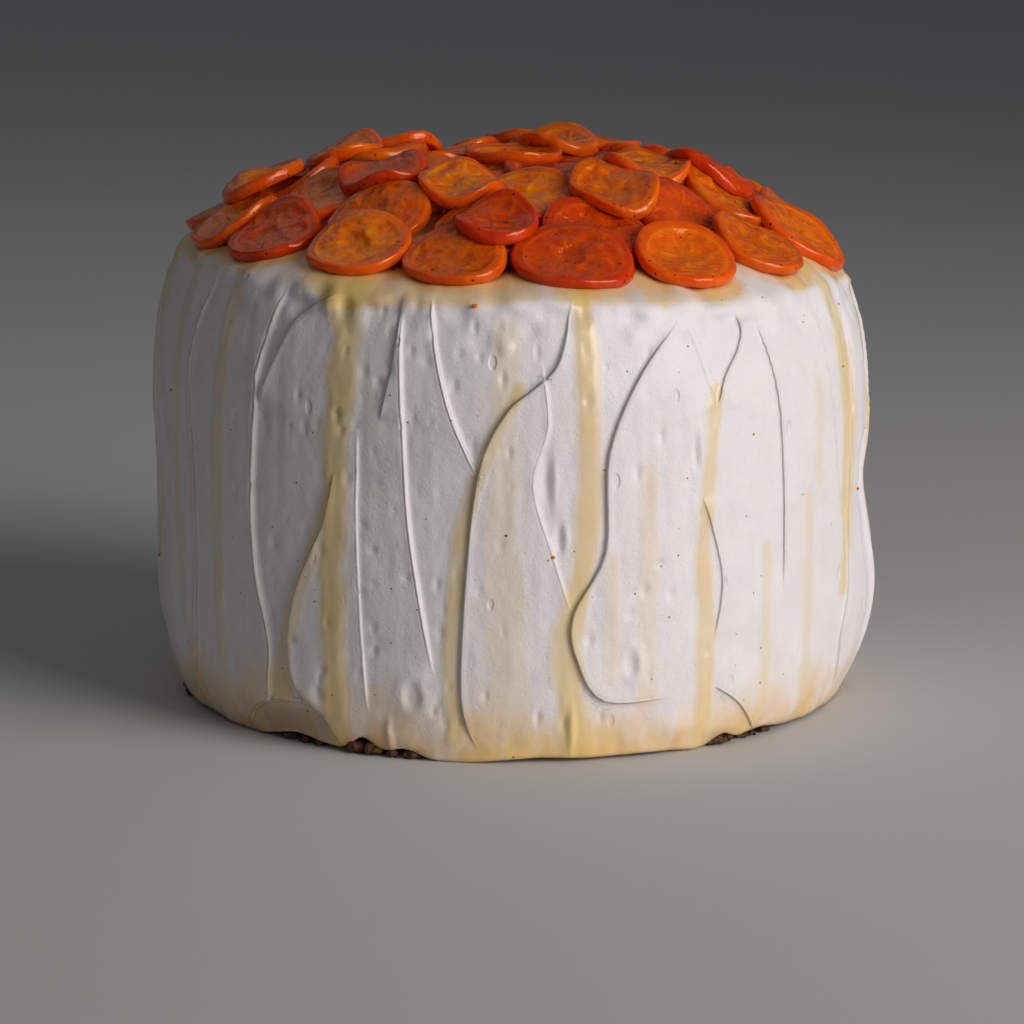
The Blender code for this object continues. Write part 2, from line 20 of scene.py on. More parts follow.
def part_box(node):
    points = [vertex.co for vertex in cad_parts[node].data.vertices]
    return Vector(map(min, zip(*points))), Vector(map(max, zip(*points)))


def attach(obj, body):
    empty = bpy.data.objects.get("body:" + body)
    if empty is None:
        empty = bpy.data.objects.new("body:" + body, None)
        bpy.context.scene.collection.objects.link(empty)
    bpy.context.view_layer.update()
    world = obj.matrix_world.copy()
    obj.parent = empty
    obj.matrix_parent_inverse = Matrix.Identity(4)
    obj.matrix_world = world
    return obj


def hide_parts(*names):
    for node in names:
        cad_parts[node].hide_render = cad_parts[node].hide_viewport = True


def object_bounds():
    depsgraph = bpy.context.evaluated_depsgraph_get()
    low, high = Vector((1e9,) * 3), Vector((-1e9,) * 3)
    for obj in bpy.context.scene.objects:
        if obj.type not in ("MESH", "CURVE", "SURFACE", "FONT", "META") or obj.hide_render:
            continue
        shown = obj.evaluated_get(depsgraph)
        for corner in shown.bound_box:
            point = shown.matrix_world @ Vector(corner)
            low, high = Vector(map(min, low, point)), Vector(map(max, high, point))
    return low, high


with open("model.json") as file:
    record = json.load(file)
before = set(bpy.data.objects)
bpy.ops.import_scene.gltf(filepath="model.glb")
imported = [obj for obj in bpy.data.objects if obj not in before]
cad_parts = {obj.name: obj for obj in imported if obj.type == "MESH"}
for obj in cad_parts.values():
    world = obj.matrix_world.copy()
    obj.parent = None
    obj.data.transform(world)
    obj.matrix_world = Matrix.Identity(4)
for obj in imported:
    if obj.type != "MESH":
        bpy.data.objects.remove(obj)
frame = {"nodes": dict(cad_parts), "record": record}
CAD_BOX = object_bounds()

bl_info = {
    "name": "Parsnip Cake",
    "version": (1, 0, 0),
    "blender": (4, 5, 0),
    "location": "3D View > Sidebar > Cake",
    "description": "Frosting, sponge, syrup and candied kumquat slices of a tall parsnip cake",
    "category": "Mesh",
}

MM = 0.001

# Cake body, as the solids have it
WIDEST_RADIUS = 83.4
WIDEST_HEIGHT = 50.0
SHOULDER_INSET = 6.0
SHOULDER_HEIGHT = 103.5
SHOULDER_TILT = 3.3
DOME_APEX = 117.8
DOME_POWER_SIDES = 4.6
DOME_POWER_FRONT = 1.9
DOME_FRONT_SPREAD = 64.0
DOME_FILL = 5.0
FOOT_INSET_FRONT = 1.5
FOOT_INSET_SIDES = 6.0
FOOT_FRONT_SPREAD = 38.0
POCKET_RADIUS = 77.7
POCKET_CEILING = 6.3
SKIRT_HEIGHT = 0.9
SKIRT_WAVE = 0.4

# Knife strokes
STEP_SHARE = 0.62
STEP_BLUR = 0.28
HIGH_SIDE_FADE = 11.0
LOW_SIDE_FADE = 7.0
LOW_SIDE_SHARE = 0.35
LIP_HEIGHT = 0.16
LIP_WIDTH = 0.5
EDGE_END_FADE = 0.14
POINTS_PER_SPAN = 5
EDGE_PULL = 0.6
EDGE_PULL_REACH = 1.1
EDGE_SHOWN = 2.0
LIP_RISE = 0.8
LIP_LEVEL = 101.6
SHOULDER_ROUNDINGS = 3
SHOULDER_ROUNDING_ROWS = 4

# Frosting mesh
DOME_ROWS = 15
FRONT_CROWDING = 26.0
BOX_MARGIN = 0.05


class StrokeEdge(NamedTuple):
    """The edge of a knife stroke, from top to bottom. A positive step has its high side at greater angles."""

    points: tuple
    step: float


class Bump(NamedTuple):
    """A rounded lump, or a pit where its rise is negative."""

    angle: float
    height: float
    half_width: float
    half_height: float
    rise: float


class SyrupRun(NamedTuple):
    """A run of syrup: its points from the top, its half width at both ends, and its strength."""

    points: tuple
    top_width: float
    foot_width: float
    strength: float


# The front's stroke edges, as (angle, height) points on smooth curves
FRONT_EDGES = (
    StrokeEdge(((-57, 104), (-61, 80), (-59.5, 50), (-60, 22), (-64, 4)), -1.3),
    StrokeEdge(((-52, 98), (-54.5, 60), (-53, 25)), 0.6),
    StrokeEdge(((-39, 102), (-42, 88), (-44, 60), (-43.5, 40), (-40.5, 22), (-42, 7)), -1.4),
    StrokeEdge(((-29, 102), (-36, 96), (-40, 86), (-43, 75)), 1.3),
    StrokeEdge(((-28, 64), (-30, 52), (-35, 37), (-37, 25), (-36, 14), (-30, 8)), 1.4),
    StrokeEdge(((-24, 74), (-24, 45), (-22.8, 9)), -0.5),
    StrokeEdge(((-18, 102), (-18.5, 90), (-20.5, 76)), 1.0),
    StrokeEdge(((-17.5, 100), (-16.5, 72), (-15.5, 50), (-12, 19)), -1.2),
    StrokeEdge(((-13, 103), (-11.5, 90), (-9, 77), (-5, 64)), -1.4),
    StrokeEdge(((9.5, 104), (7, 90), (3, 84), (-1, 79), (-5, 67), (-7, 45), (-8, 15), (-5.5, 3)), 1.5),
    StrokeEdge(((4.5, 90), (5.5, 76), (3.2, 63), (6, 48), (9, 34)), -0.8),
    StrokeEdge(((28, 100), (20, 88), (14.5, 70), (14, 48), (9, 34), (9.5, 24), (14, 14), (26, 14)), 1.5),
    StrokeEdge(((39, 100), (38.5, 94), (35, 87), (33, 80)), 1.1),
    StrokeEdge(((29, 98), (31, 88), (33, 79)), -0.7),
    StrokeEdge(((30, 60), (33, 47), (34, 38), (32.5, 26)), 0.7),
    StrokeEdge(((42, 99), (45, 84), (46.5, 65), (47, 33)), 0.9),
    StrokeEdge(((33, 15), (38, 10), (43, 2)), 0.9),
    StrokeEdge(((-50, 0), (-45, 7), (-40, 9.5), (-33, 9), (-28, 1)), 1.3),
)

# The lumps and pits that the solids have
FRONT_BUMPS = (
    Bump(-43, 82, 2.2, 5, 1.0),
    Bump(5, 64, 1.1, 6, -0.9),
    Bump(-15.5, 15, 2.6, 5, 0.9),
    Bump(27, 6, 3.0, 3, 0.8),
    Bump(-38, 4, 7.0, 4, -1.2),
)
SIDE_SWELLS = (
    Bump(82, 27, 16, 13, 2.4),
    Bump(86, 54, 14, 8, -1.2),
    Bump(-92, 72, 18, 16, 0.9),
    Bump(-100, 30, 20, 14, 0.8),
    Bump(150, 64, 18, 16, 1.0),
    Bump(-150, 40, 20, 15, 0.9),
)

# The small marks of the front and the lumps along its shoulder, too fine for the solids
SMALL_MARKS = (
    Bump(7, 51, 0.8, 3, -0.7),
    Bump(29, 70, 0.6, 3.5, -0.7),
    Bump(23, 74, 0.6, 2, -0.5),
    Bump(19, 66, 0.5, 2, -0.4),
    Bump(18.8, 22, 1.7, 4.6, 0.7),
    Bump(18.2, 22.5, 1.0, 3, -1.0),
    Bump(-15.5, 15, 1.4, 3, -1.1),
    Bump(-1, 93, 1.2, 1.8, 0.6),
    Bump(-5, 95, 2.0, 2.5, -0.4),
    Bump(-13, 101, 1.9, 2.0, 0.7),
    Bump(-13, 101.2, 1.1, 1.0, -0.7),
    Bump(9, 8, 0.6, 5, 0.7),
    Bump(-19.5, 5, 0.7, 4, 0.6),
    Bump(50, 20, 0.8, 3, 0.5),
    Bump(6.2, 64, 0.6, 5.5, 0.4),
    Bump(8.0, 51, 0.5, 3, 0.35),
    Bump(29.8, 70, 0.4, 3.2, 0.3),
    Bump(-47, 102, 3.0, 1.6, 1.6),
    Bump(-36, 101, 2.6, 1.5, 1.4),
    Bump(-30, 100, 1.6, 2.2, 1.8),
    Bump(-27.5, 99, 1.2, 1.6, -1.2),
    Bump(-22, 101.5, 2.0, 1.2, 1.6),
    Bump(-17, 101, 1.4, 1.4, 1.2),
    Bump(-6, 102, 3.0, 1.0, 1.1),
    Bump(1, 101.6, 2.4, 1.0, 0.9),
    Bump(8, 102, 2.6, 1.3, 1.3),
    Bump(22, 101.5, 4.0, 1.1, 0.9),
    Bump(36, 101, 3.0, 1.4, 1.2),
    Bump(48, 101, 2.6, 1.6, 1.4),
)
# Faint unevenness of the wall: rise, cells round it, cells in each 100 of height, and seed
FINE_UNEVENNESS = ((0.07, 260, 5, 1), (0.10, 90, 9, 2), (0.05, 420, 60, 3))
SHOULDER_LUMPS = 34
MARK_STEEPNESS = 1.6
DIMPLE_COUNT = 260
DIMPLE_SEED = 31

# Where the frosting's lower edge stops short and the sponge shows
SKIRT_NOTCHES = (
    Bump(-38, 0, 5, 1, 1.2),
    Bump(-24.5, 0, 2.4, 1, 3.0),
    Bump(-17, 0, 3, 1, 1.5),
    Bump(36, 0, 2.5, 1, 2.3),
    Bump(44, 0, 5, 1, 0.9),
    Bump(118, 0, 4, 1, 1.8),
    Bump(171, 0, 5, 1, 1.3),
    Bump(-132, 0, 4, 1, 1.9),
    Bump(-82, 0, 5, 1, 1.1),
)

# Crumbs: those of fruit on the front as (angle, height, size)
CRUMB_SEED = 5
FRUIT_BITS = ((6, 47, 0.55), (-6, 102, 0.7), (-1, 52, 0.45), (-20, 99, 0.4), (14, 66, 0.3), (-33, 40, 0.3),
              (40, 71, 0.3))

# The unseen strokes: V-shaped troughs with one long edge between each pair
UNSEEN_START = 55.0
UNSEEN_END = 296.0
UNSEEN_TROUGHS = 12
UNSEEN_SEED = 12

# Syrup on the front of the wall
FRONT_RUNS = (
    SyrupRun(((-51, 98), (-52.5, 60), (-53, 8)), 2.6, 2.0, 0.5),
    SyrupRun(((-26.5, 106), (-27, 90), (-28, 60), (-28.5, 35), (-28, 0)), 3.4, 3.0, 1.0),
    SyrupRun(((-30, 106), (-28.5, 101), (-27.5, 95)), 8.0, 3.0, 0.9),
    SyrupRun(((-28.6, 60), (-34, 38), (-37.5, 25), (-38.5, 12)), 1.6, 3.2, 0.7),
    SyrupRun(((1, 84), (-4, 69), (-7, 55), (-8.6, 40), (-9.6, 25), (-9, 6)), 1.6, 1.8, 0.8),
    SyrupRun(((-1, 96), (-1.5, 60), (-1, 30), (0, 0)), 2.6, 5.5, 0.35),
    SyrupRun(((11, 106), (11.5, 80), (11.5, 52), (9.5, 36), (8, 26), (9, 12), (10.5, 0)), 2.4, 3.4, 0.9),
    SyrupRun(((15, 46), (15, 20)), 1.8, 1.8, 0.3),
    SyrupRun(((21, 66), (21, 15)), 1.8, 2.2, 0.35),
    SyrupRun(((33, 84), (30.5, 50), (31, 28), (31, 0)), 1.6, 2.4, 0.75),
    SyrupRun(((43, 46), (43, 5)), 1.6, 2.0, 0.4),
    SyrupRun(((53, 56), (53.5, 12)), 1.6, 2.0, 0.4),
    SyrupRun(((56, 82), (56, 58)), 1.6, 1.6, 0.3),
)
UNSEEN_RUN_SEED = 17
UNSEEN_RUN_SPACING = 15.0
SYRUP_RISE = 0.35

# The grid over the top that says how high the topping is and where it is near
FIELD_HALF = 88.0
FIELD_STEP = 0.7
FIELD_CELLS = round(2 * FIELD_HALF / FIELD_STEP) + 1
FIELD_PLACES = np.arange(FIELD_CELLS) * FIELD_STEP - FIELD_HALF
NEAR_SPREADS = 26

# The syrup that fills the gaps between the slices
FILM_ROWS = 112
FILM_UNDER_ROWS = 12
FILM_COLUMNS = 480
FILM_REACH = 73.0
FILM_SPREADS = 5
FILM_DEPTH = 0.8
FILM_LOW_REACH = 4
FILM_HIDDEN = 0.6

# Candied slices, as the solids have them
SLICE_THICKNESS = 2.9
RIM_START = 0.87
RIM_MIDDLE = 0.47
PULP_LEVEL = 0.86
SLICE_SEED = 40
TOUCH_SOFTNESS = 1.2
MOST_SINKING = 6.0
MOST_LIFT = 5.0

# Sponge mesh
SPONGE_ROWS = 16
SPONGE_COLUMNS = 420
SPONGE_INSET = 0.9
SPONGE_EDGE_INSET = 0.5
SPONGE_INNER_SHARE = 0.6

# Stage, in metres
LIGHT_SPREAD = 85.0
LIGHTS_AIM = (0, 0, 0.07)
KEY_PLACE, KEY_SIZE = (0.92, -0.72, 0.44), 0.9
FILL_PLACE, FILL_SIZE = (-0.6, -1.0, 0.5), 0.8
BACK_PLACE, BACK_SIZE = (-0.45, 1.0, 1.15), 1.2
FLOOR_HALF = 12.0
CAMERA_PLACE = (-0.0002, -1.0, 0.2345)
CAMERA_PITCH = 10.95
CAMERA_LENS = 150.05
CAMERA_SENSOR = 36.0


def smooth(share):
    """A smooth rise from 0 to 1 as share goes from 0 to 1."""
    held = np.clip(share, 0.0, 1.0)
    return held * held * (3 - 2 * held)


def turned(angle):
    """The angle brought between -180 and 180 degrees."""
    return (np.asarray(angle, float) + 180.0) % 360.0 - 180.0


def arc_length(angle):
    """Degrees of angle as millimetres along the cake's widest circle."""
    return np.radians(angle) * WIDEST_RADIUS


def smooth_path(points):
    """A Catmull-Rom curve through the points, as an array of (arc length, height)."""
    knots = [(arc_length(angle), height) for angle, height in points]
    ends = [knots[0], *knots, knots[-1]]
    path = []
    for before, start, end, after in zip(ends, ends[1:], ends[2:], ends[3:]):
        before, start, end, after = (np.array(p, float) for p in (before, start, end, after))
        for step in range(POINTS_PER_SPAN):
            t = step / POINTS_PER_SPAN
            path.append(0.5 * (2 * start + (end - before) * t
                               + (2 * before - 5 * start + 4 * end - after) * t ** 2
                               + (3 * start - before - 3 * end + after) * t ** 3))
    path.append(np.array(knots[-1], float))
    return np.array(path)


def beside_path(path, arc, height):
    """Signed distance from a path, positive on its left as one goes along, the share of the way, and the
    step from each point to the nearest point of the path."""
    distance = np.full(arc.shape, 1e9)
    along = np.zeros(arc.shape)
    step_x, step_y = np.zeros(arc.shape), np.zeros(arc.shape)
    spans = len(path) - 1
    for index in range(spans):
        start, run = path[index], path[index + 1] - path[index]
        across_x, across_y = arc - start[0], height - start[1]
        share = np.clip((across_x * run[0] + across_y * run[1]) / (run @ run), 0, 1)
        off_x, off_y = across_x - share * run[0], across_y - share * run[1]
        gap = np.hypot(off_x, off_y)
        side = np.sign(run[0] * off_y - run[1] * off_x)
        nearer = gap < np.abs(distance)
        distance = np.where(nearer, gap * side, distance)
        along = np.where(nearer, (index + share) / spans, along)
        step_x, step_y = np.where(nearer, -off_x, step_x), np.where(nearer, -off_y, step_y)
    return distance, along, step_x, step_y


def from_edge(path, angle, height):
    """beside_path on the round wall, where the way to a path is measured the short way round."""
    middle = path[:, 0].mean()
    arc = middle + arc_length(turned(angle - np.degrees(middle / WIDEST_RADIUS)))
    return beside_path(path, arc, height)


def edge_fade(along):
    """How strongly an edge shows along its length: it dies away at both ends."""
    return smooth(along / EDGE_END_FADE) * smooth((1 - along) / EDGE_END_FADE)


def unseen_edges():
    """The stroke edges of the sides and the back."""
    draw = random.Random(UNSEEN_SEED)
    spacing = (UNSEEN_END - UNSEEN_START) / UNSEEN_TROUGHS
    edges = []
    for index in range(UNSEEN_TROUGHS):
        middle = UNSEEN_START + spacing * (index + 0.5) + draw.uniform(-2, 2)
        half = spacing * draw.uniform(0.26, 0.38)
        lean = draw.uniform(-4, 4)
        meeting = draw.uniform(28, 66)
        foot = draw.uniform(3, 14)
        left = ((middle - half, 102), (middle - half * 0.8, 86), (middle + lean, meeting))
        right = ((middle + half, 103), (middle + half * 0.7, 88), (middle + lean + 0.6, meeting + 2),
                 (middle + lean - 1.5, (meeting + foot) / 2), (middle + lean * 1.4, foot))
        between = middle + spacing / 2
        sway = draw.uniform(-2.5, 2.5)
        long_edge = ((between, draw.uniform(96, 102)), (between + sway, 70),
                     (between + sway * 1.6, 40), (between - sway, draw.uniform(8, 24)))
        edges.append(StrokeEdge(left, -draw.uniform(0.9, 1.4)))
        edges.append(StrokeEdge(right, draw.uniform(1.0, 1.5)))
        edges.append(StrokeEdge(long_edge, draw.choice((-1, 1)) * draw.uniform(0.6, 1.1)))
    return edges


EDGES = [(smooth_path(edge.points), edge.step) for edge in (*FRONT_EDGES, *unseen_edges())]


def syrup_runs():
    """Every run of syrup: the front's, then shorter and longer ones all the way round the unseen side."""
    draw = random.Random(UNSEEN_RUN_SEED)
    runs = list(FRONT_RUNS)
    angle = 66.0
    while angle < 300:
        reach = draw.uniform(0, 60)
        sway = draw.uniform(-2, 2)
        points = ((angle, 106), (angle + sway, 70), (angle + sway * 0.5, reach * 0.5 + 35),
                  (angle - sway, reach))
        runs.append(SyrupRun(points, draw.uniform(1.4, 3.6), draw.uniform(1.6, 2.8), draw.uniform(0.4, 1.0)))
        angle += UNSEEN_RUN_SPACING * draw.uniform(0.6, 1.5)
    return [(smooth_path(run.points), run) for run in runs]


def stroke_relief(angle, height):
    """How far the knife strokes raise or sink the frosting."""
    relief = np.zeros(angle.shape)
    for path, step in EDGES:
        distance, along, _, _ = from_edge(path, angle, height)
        if step < 0:
            distance = -distance
        high_share = 0.5 * (1 + np.tanh(distance / STEP_BLUR))
        high = high_share * np.exp(-np.clip(distance, 0, None) / HIGH_SIDE_FADE)
        low = (1 - high_share) * np.exp(np.clip(distance, None, 0) / LOW_SIDE_FADE)
        lip = LIP_HEIGHT * np.exp(-((distance - LIP_WIDTH) / LIP_WIDTH) ** 2)
        relief += abs(step) * edge_fade(along) * (high - LOW_SIDE_SHARE * low + lip)
    return relief * STEP_SHARE


def bump_relief(bumps, angle, height, power=1.0):
    """The rise of rounded lumps, pits and swells; a higher power makes their sides steeper."""
    relief = np.zeros(angle.shape)
    for bump in bumps:
        across = turned(angle - bump.angle) / bump.half_width
        up = (height - bump.height) / bump.half_height
        relief += bump.rise * np.exp(-(across ** 2 + up ** 2) ** power)
    return relief


def uneven(angle, height, around, up, seed):
    """Smooth random values from -1 to 1 that close round a circle: around cells round it, and up cells in
    each 100 of height."""
    grid = np.random.default_rng(seed).uniform(-1, 1, (around, 2 * up + 3))
    across = turned(angle) / 360 * around + around
    rise = np.clip(height / 100 * up, 0, 2 * up)
    column, row = np.floor(across).astype(int), np.floor(rise).astype(int)
    x, y = smooth(across - column), smooth(rise - row)
    near, far = column % around, (column + 1) % around
    low = grid[near, row] * (1 - x) + grid[far, row] * x
    high = grid[near, row + 1] * (1 - x) + grid[far, row + 1] * x
    return low * (1 - y) + high * y


def uneven_flat(across, along, cell, seed):
    """Smooth random values from -1 to 1 on a flat place, with cells of that size."""
    return uneven(across * 6, (along + 20) * 2, round(60 / cell), round(50 / cell), seed)


def dimples():
    """Small pits of burst air bubbles all round the wall, and the lumps along the unseen shoulder."""
    draw = random.Random(DIMPLE_SEED)
    pits = []
    for _ in range(DIMPLE_COUNT):
        angle = draw.uniform(-180, 180) if draw.random() < 0.7 else draw.uniform(-60, 0)
        pits.append(Bump(angle, draw.uniform(6, 100), draw.uniform(0.35, 0.8), draw.uniform(0.6, 1.7),
                         -draw.uniform(0.15, 0.5)))
    for _ in range(SHOULDER_LUMPS):
        pits.append(Bump(draw.uniform(55, 305), draw.uniform(100, 102.5), draw.uniform(1.4, 4.2),
                         draw.uniform(0.9, 1.8), draw.uniform(0.4, 1.6)))
    return pits


def shoulder_height(angle):
    """The height of the shoulder, where the wall turns over into the top: it leans a little to the right."""
    slant = -SHOULDER_TILT * np.sin(np.radians(angle))
    return SHOULDER_HEIGHT + slant + 0.35 * np.sin(np.radians(angle * 7 + 40))


def dome_power(angle):
    """How full the dome is: flat on top and steep at its edge at the sides, falling sooner in front."""
    front = np.exp(-(turned(angle) / DOME_FRONT_SPREAD) ** 2)
    return DOME_POWER_SIDES + (DOME_POWER_FRONT - DOME_POWER_SIDES) * front


def dome_height(angle, share):
    """The height of the domed top at a share of its radius."""
    shoulder = shoulder_height(angle)
    fill = DOME_FILL * smooth((0.86 - share) / 0.5)
    return shoulder + (DOME_APEX - shoulder) * (1 - np.clip(share, 0, 1) ** dome_power(angle)) + fill


def spread_once(field):
    """Each cell of a grid given the mean of itself and its four neighbours."""
    sides = sum(np.roll(field, step, axis) for step in (-1, 1) for axis in (0, 1))
    return 0.2 * (field + sides)


def lowest_near(field, reach):
    """Each cell of a grid given the lowest value within reach cells of it."""
    for axis in (0, 1):
        field = np.min([np.roll(field, step, axis) for step in range(-reach, reach + 1)], axis=0)
    return field


def tree_of(mesh):
    """A mesh's faces, for casting rays at."""
    return BVHTree.FromPolygons([vert.co for vert in mesh.vertices],
                                [tuple(face.vertices) for face in mesh.polygons])


def lay_on(field, mesh):
    """Raises a grid of heights to where a mesh lies on it, and returns the cells that the mesh covers."""
    corners = np.array([vert.co for vert in mesh.vertices]) / MM
    first = np.floor((corners.min(0)[:2] + FIELD_HALF) / FIELD_STEP).astype(int)
    last = np.ceil((corners.max(0)[:2] + FIELD_HALF) / FIELD_STEP).astype(int)
    tree = tree_of(mesh)
    covered = []
    for i in range(first[0], last[0] + 1):
        for j in range(first[1], last[1] + 1):
            above = Vector((FIELD_PLACES[i] * MM, FIELD_PLACES[j] * MM, 0.2))
            hit = tree.ray_cast(above, Vector((0, 0, -1)))[0]
            if hit is not None:
                field[i, j] = max(field[i, j], hit.z / MM)
                covered.append((i, j))
    return covered


def bare_top():
    """The height of the bare top over a grid."""
    across, back = np.meshgrid(FIELD_PLACES, FIELD_PLACES, indexing="ij")
    angle = np.degrees(np.arctan2(across, -back))
    return dome_height(angle, np.hypot(across, back) / (WIDEST_RADIUS - SHOULDER_INSET))


def near_slices():
    """How near each cell of the grid is to a slice, from 0 to 1."""
    near = np.zeros((FIELD_CELLS, FIELD_CELLS))
    for name in slice_nodes():
        for cell in lay_on(near.copy(), frame["nodes"][name].data):
            near[cell] = 1
    for _ in range(NEAR_SPREADS):
        near = spread_once(near)
    return near


def slice_nodes():
    """The names of the solid slices, in the order in which they were laid."""
    return sorted(name for name in frame["nodes"] if name.startswith("kumquat_slice"))


def field_value(field, across, back):
    """A grid's value between its cells."""
    x, y = ((np.clip(value, -FIELD_HALF, FIELD_HALF - 1e-6) + FIELD_HALF) / FIELD_STEP
            for value in (across, back))
    i, j = (np.clip(np.floor(value).astype(int), 0, FIELD_CELLS - 2) for value in (x, y))
    x, y = x - i, y - j
    low = field[i, j] * (1 - x) + field[i + 1, j] * x
    high = field[i, j + 1] * (1 - x) + field[i + 1, j + 1] * x
    return low * (1 - y) + high * y


BARE_TOP = bare_top()
NEAR_SLICES = near_slices()
TOPPING = {"height": BARE_TOP.copy()}


def wall_level(angle, height):
    """A height on the wall as it would be if the shoulder were level."""
    return height * SHOULDER_HEIGHT / shoulder_height(angle)


def solid_radius(angle, level):
    """The frosting's radius on the wall without its finest marks."""
    above = np.clip((level - WIDEST_HEIGHT) / (SHOULDER_HEIGHT - WIDEST_HEIGHT), 0, 1)
    below = np.clip((WIDEST_HEIGHT - level) / WIDEST_HEIGHT, 0, 1)
    front = np.exp(-(turned(angle) / FOOT_FRONT_SPREAD) ** 2)
    foot_inset = FOOT_INSET_SIDES + (FOOT_INSET_FRONT - FOOT_INSET_SIDES) * front
    plain = WIDEST_RADIUS - SHOULDER_INSET * above ** 4 - foot_inset * below ** 6
    relief = stroke_relief(angle, level) + bump_relief(FRONT_BUMPS, angle, level)
    return plain + bump_relief(SIDE_SWELLS, angle, level) + relief


def fine_relief(angle, level):
    """What a knife leaves between its strokes: small marks, dimples, faint ribs and a little unevenness."""
    relief = bump_relief((*SMALL_MARKS, *dimples()), angle, level, MARK_STEEPNESS)
    for rise, around, up, seed in FINE_UNEVENNESS:
        relief += rise * uneven(angle, level, around, up, seed)
    relief += 0.6 * smooth((level - 90) / 9) * uneven(angle, level, 130, 26, 4)
    relief += 0.35 * smooth((10 - level) / 9) * uneven(angle, level, 110, 20, 10)
    ragged = 0.6 + 0.6 * uneven(angle, level * 0, 90, 1, 13)
    relief += LIP_RISE * np.exp(-((level - LIP_LEVEL) / 0.9) ** 2) * ragged
    return relief


def syrup_depth(angle, level):
    """How thickly syrup covers the wall, from 0 to 1."""
    depth = np.zeros(angle.shape)
    for path, run in syrup_runs():
        distance, along, _, _ = from_edge(path, angle, level)
        half = run.top_width + (run.foot_width - run.top_width) * along
        half = half * (1 + 0.25 * uneven(angle, level, 120, 14, 5))
        flat = smooth((1.5 - np.abs(distance) / half) / 1.0)
        patchy = 0.85 + 0.15 * uneven(angle, level, 60, 16, 9)
        depth = np.maximum(depth, run.strength * flat * patchy)
    return depth


def soaked(angle, level, near):
    """How far the frosting has drunk syrup, from 0 to 1: near the slices, in pools over the shoulder and at
    the foot."""
    ragged = 2.0 * uneven(angle, level, 70, 6, 6) + 1.2 * uneven(angle, level, 200, 20, 7)
    front = np.exp(-((turned(angle) + 27) / 10) ** 2) + 0.3 * np.exp(-((turned(angle) + 8) / 8) ** 2)
    hidden = smooth((np.abs(turned(angle)) - 55) / 15)
    pool = np.clip(front + 0.5 * hidden * smooth(uneven(angle, level * 0, 24, 1, 8) + 0.1), 0, 1)
    wet = np.maximum(smooth((near - 0.01) / 0.12), pool)
    wet = np.maximum(wet, 0.8 * np.exp(-(turned(angle) / 42) ** 4))
    top = wet * smooth((level - SHOULDER_HEIGHT + 1.6 + 4.4 * pool + 0.45 * ragged) / 2.4)
    foot = smooth((19 - level + 2.5 * ragged) / 22.0)
    return np.maximum(top, foot)


def scooped(angle, level):
    """How thinly the frosting covers the sponge, from 0 to 1: a scoop at the front's foot and small ones at
    the other notches."""
    thin = smooth((10.5 - level) / 3.5) * np.exp(-((turned(angle) + 39) / 8.5) ** 2)
    for notch in SKIRT_NOTCHES:
        reach = np.exp(-(turned(angle - notch.angle) / (notch.half_width * 1.6)) ** 2)
        thin = np.maximum(thin, 0.8 * reach * smooth((notch.rise + 2.6 - level) / 2.4))
    return thin * (0.85 + 0.15 * uneven(angle, level, 150, 24, 12))


def skirt_height(angle):
    """How far the frosting's lower edge stays off the ground, which leaves the sponge to show."""
    wave = np.sin(np.radians(angle * 9)) + 0.7 * np.sin(np.radians(angle * 17 + 60))
    return SKIRT_HEIGHT + SKIRT_WAVE * wave + bump_relief(SKIRT_NOTCHES, angle, np.zeros(angle.shape))


def pulled_to_edges(angle, height):
    """Points of the wall drawn towards the nearest stroke edges, so that the steps stay crisp."""
    pull_x, pull_y = np.zeros(angle.shape), np.zeros(angle.shape)
    total = np.zeros(angle.shape)
    for path, _ in EDGES:
        distance, along, step_x, step_y = from_edge(path, angle, height)
        weight = np.exp(-(distance / EDGE_PULL_REACH) ** 2) * edge_fade(along)
        pull_x += weight * step_x
        pull_y += weight * step_y
        total += weight
    share = EDGE_PULL / np.maximum(total, 1)
    return angle + np.degrees(pull_x * share / WIDEST_RADIUS), height + pull_y * share


def nearest_edge(angle, level):
    """The signed distance to the nearest stroke edge, positive on its high side, and how strongly the edge
    shows there."""
    offset, weight = np.full(angle.shape, EDGE_SHOWN), np.zeros(angle.shape)
    for path, step in EDGES:
        distance, along, _, _ = from_edge(path, angle, level)
        nearer = np.abs(distance) < np.abs(offset)
        offset = np.where(nearer, distance * math.copysign(1, step), offset)
        shown = abs(step) * edge_fade(along) * smooth(1 - np.abs(distance) / EDGE_SHOWN)
        weight = np.where(nearer, shown, weight)
    return offset, weight * smooth((80 - np.abs(turned(angle))) / 25)


def rounded(wall, dome):
    """The rows of the wall and of the dome in one, with the shoulder between them rounded off."""
    rows = np.concatenate([wall, dome])
    corner = len(wall) - 1
    for _ in range(SHOULDER_ROUNDINGS):
        near = slice(corner - SHOULDER_ROUNDING_ROWS, corner + SHOULDER_ROUNDING_ROWS)
        before = slice(near.start - 1, near.stop - 1)
        after = slice(near.start + 1, near.stop + 1)
        rows[near] = 0.5 * rows[near] + 0.25 * (rows[before] + rows[after])
    return rows


def on_circle(radius, angle, height):
    """Points in metres at a radius, an angle and a height."""
    turn = np.radians(angle)
    return np.stack([radius * np.sin(turn), -radius * np.cos(turn), height + 0 * turn], axis=-1) * MM


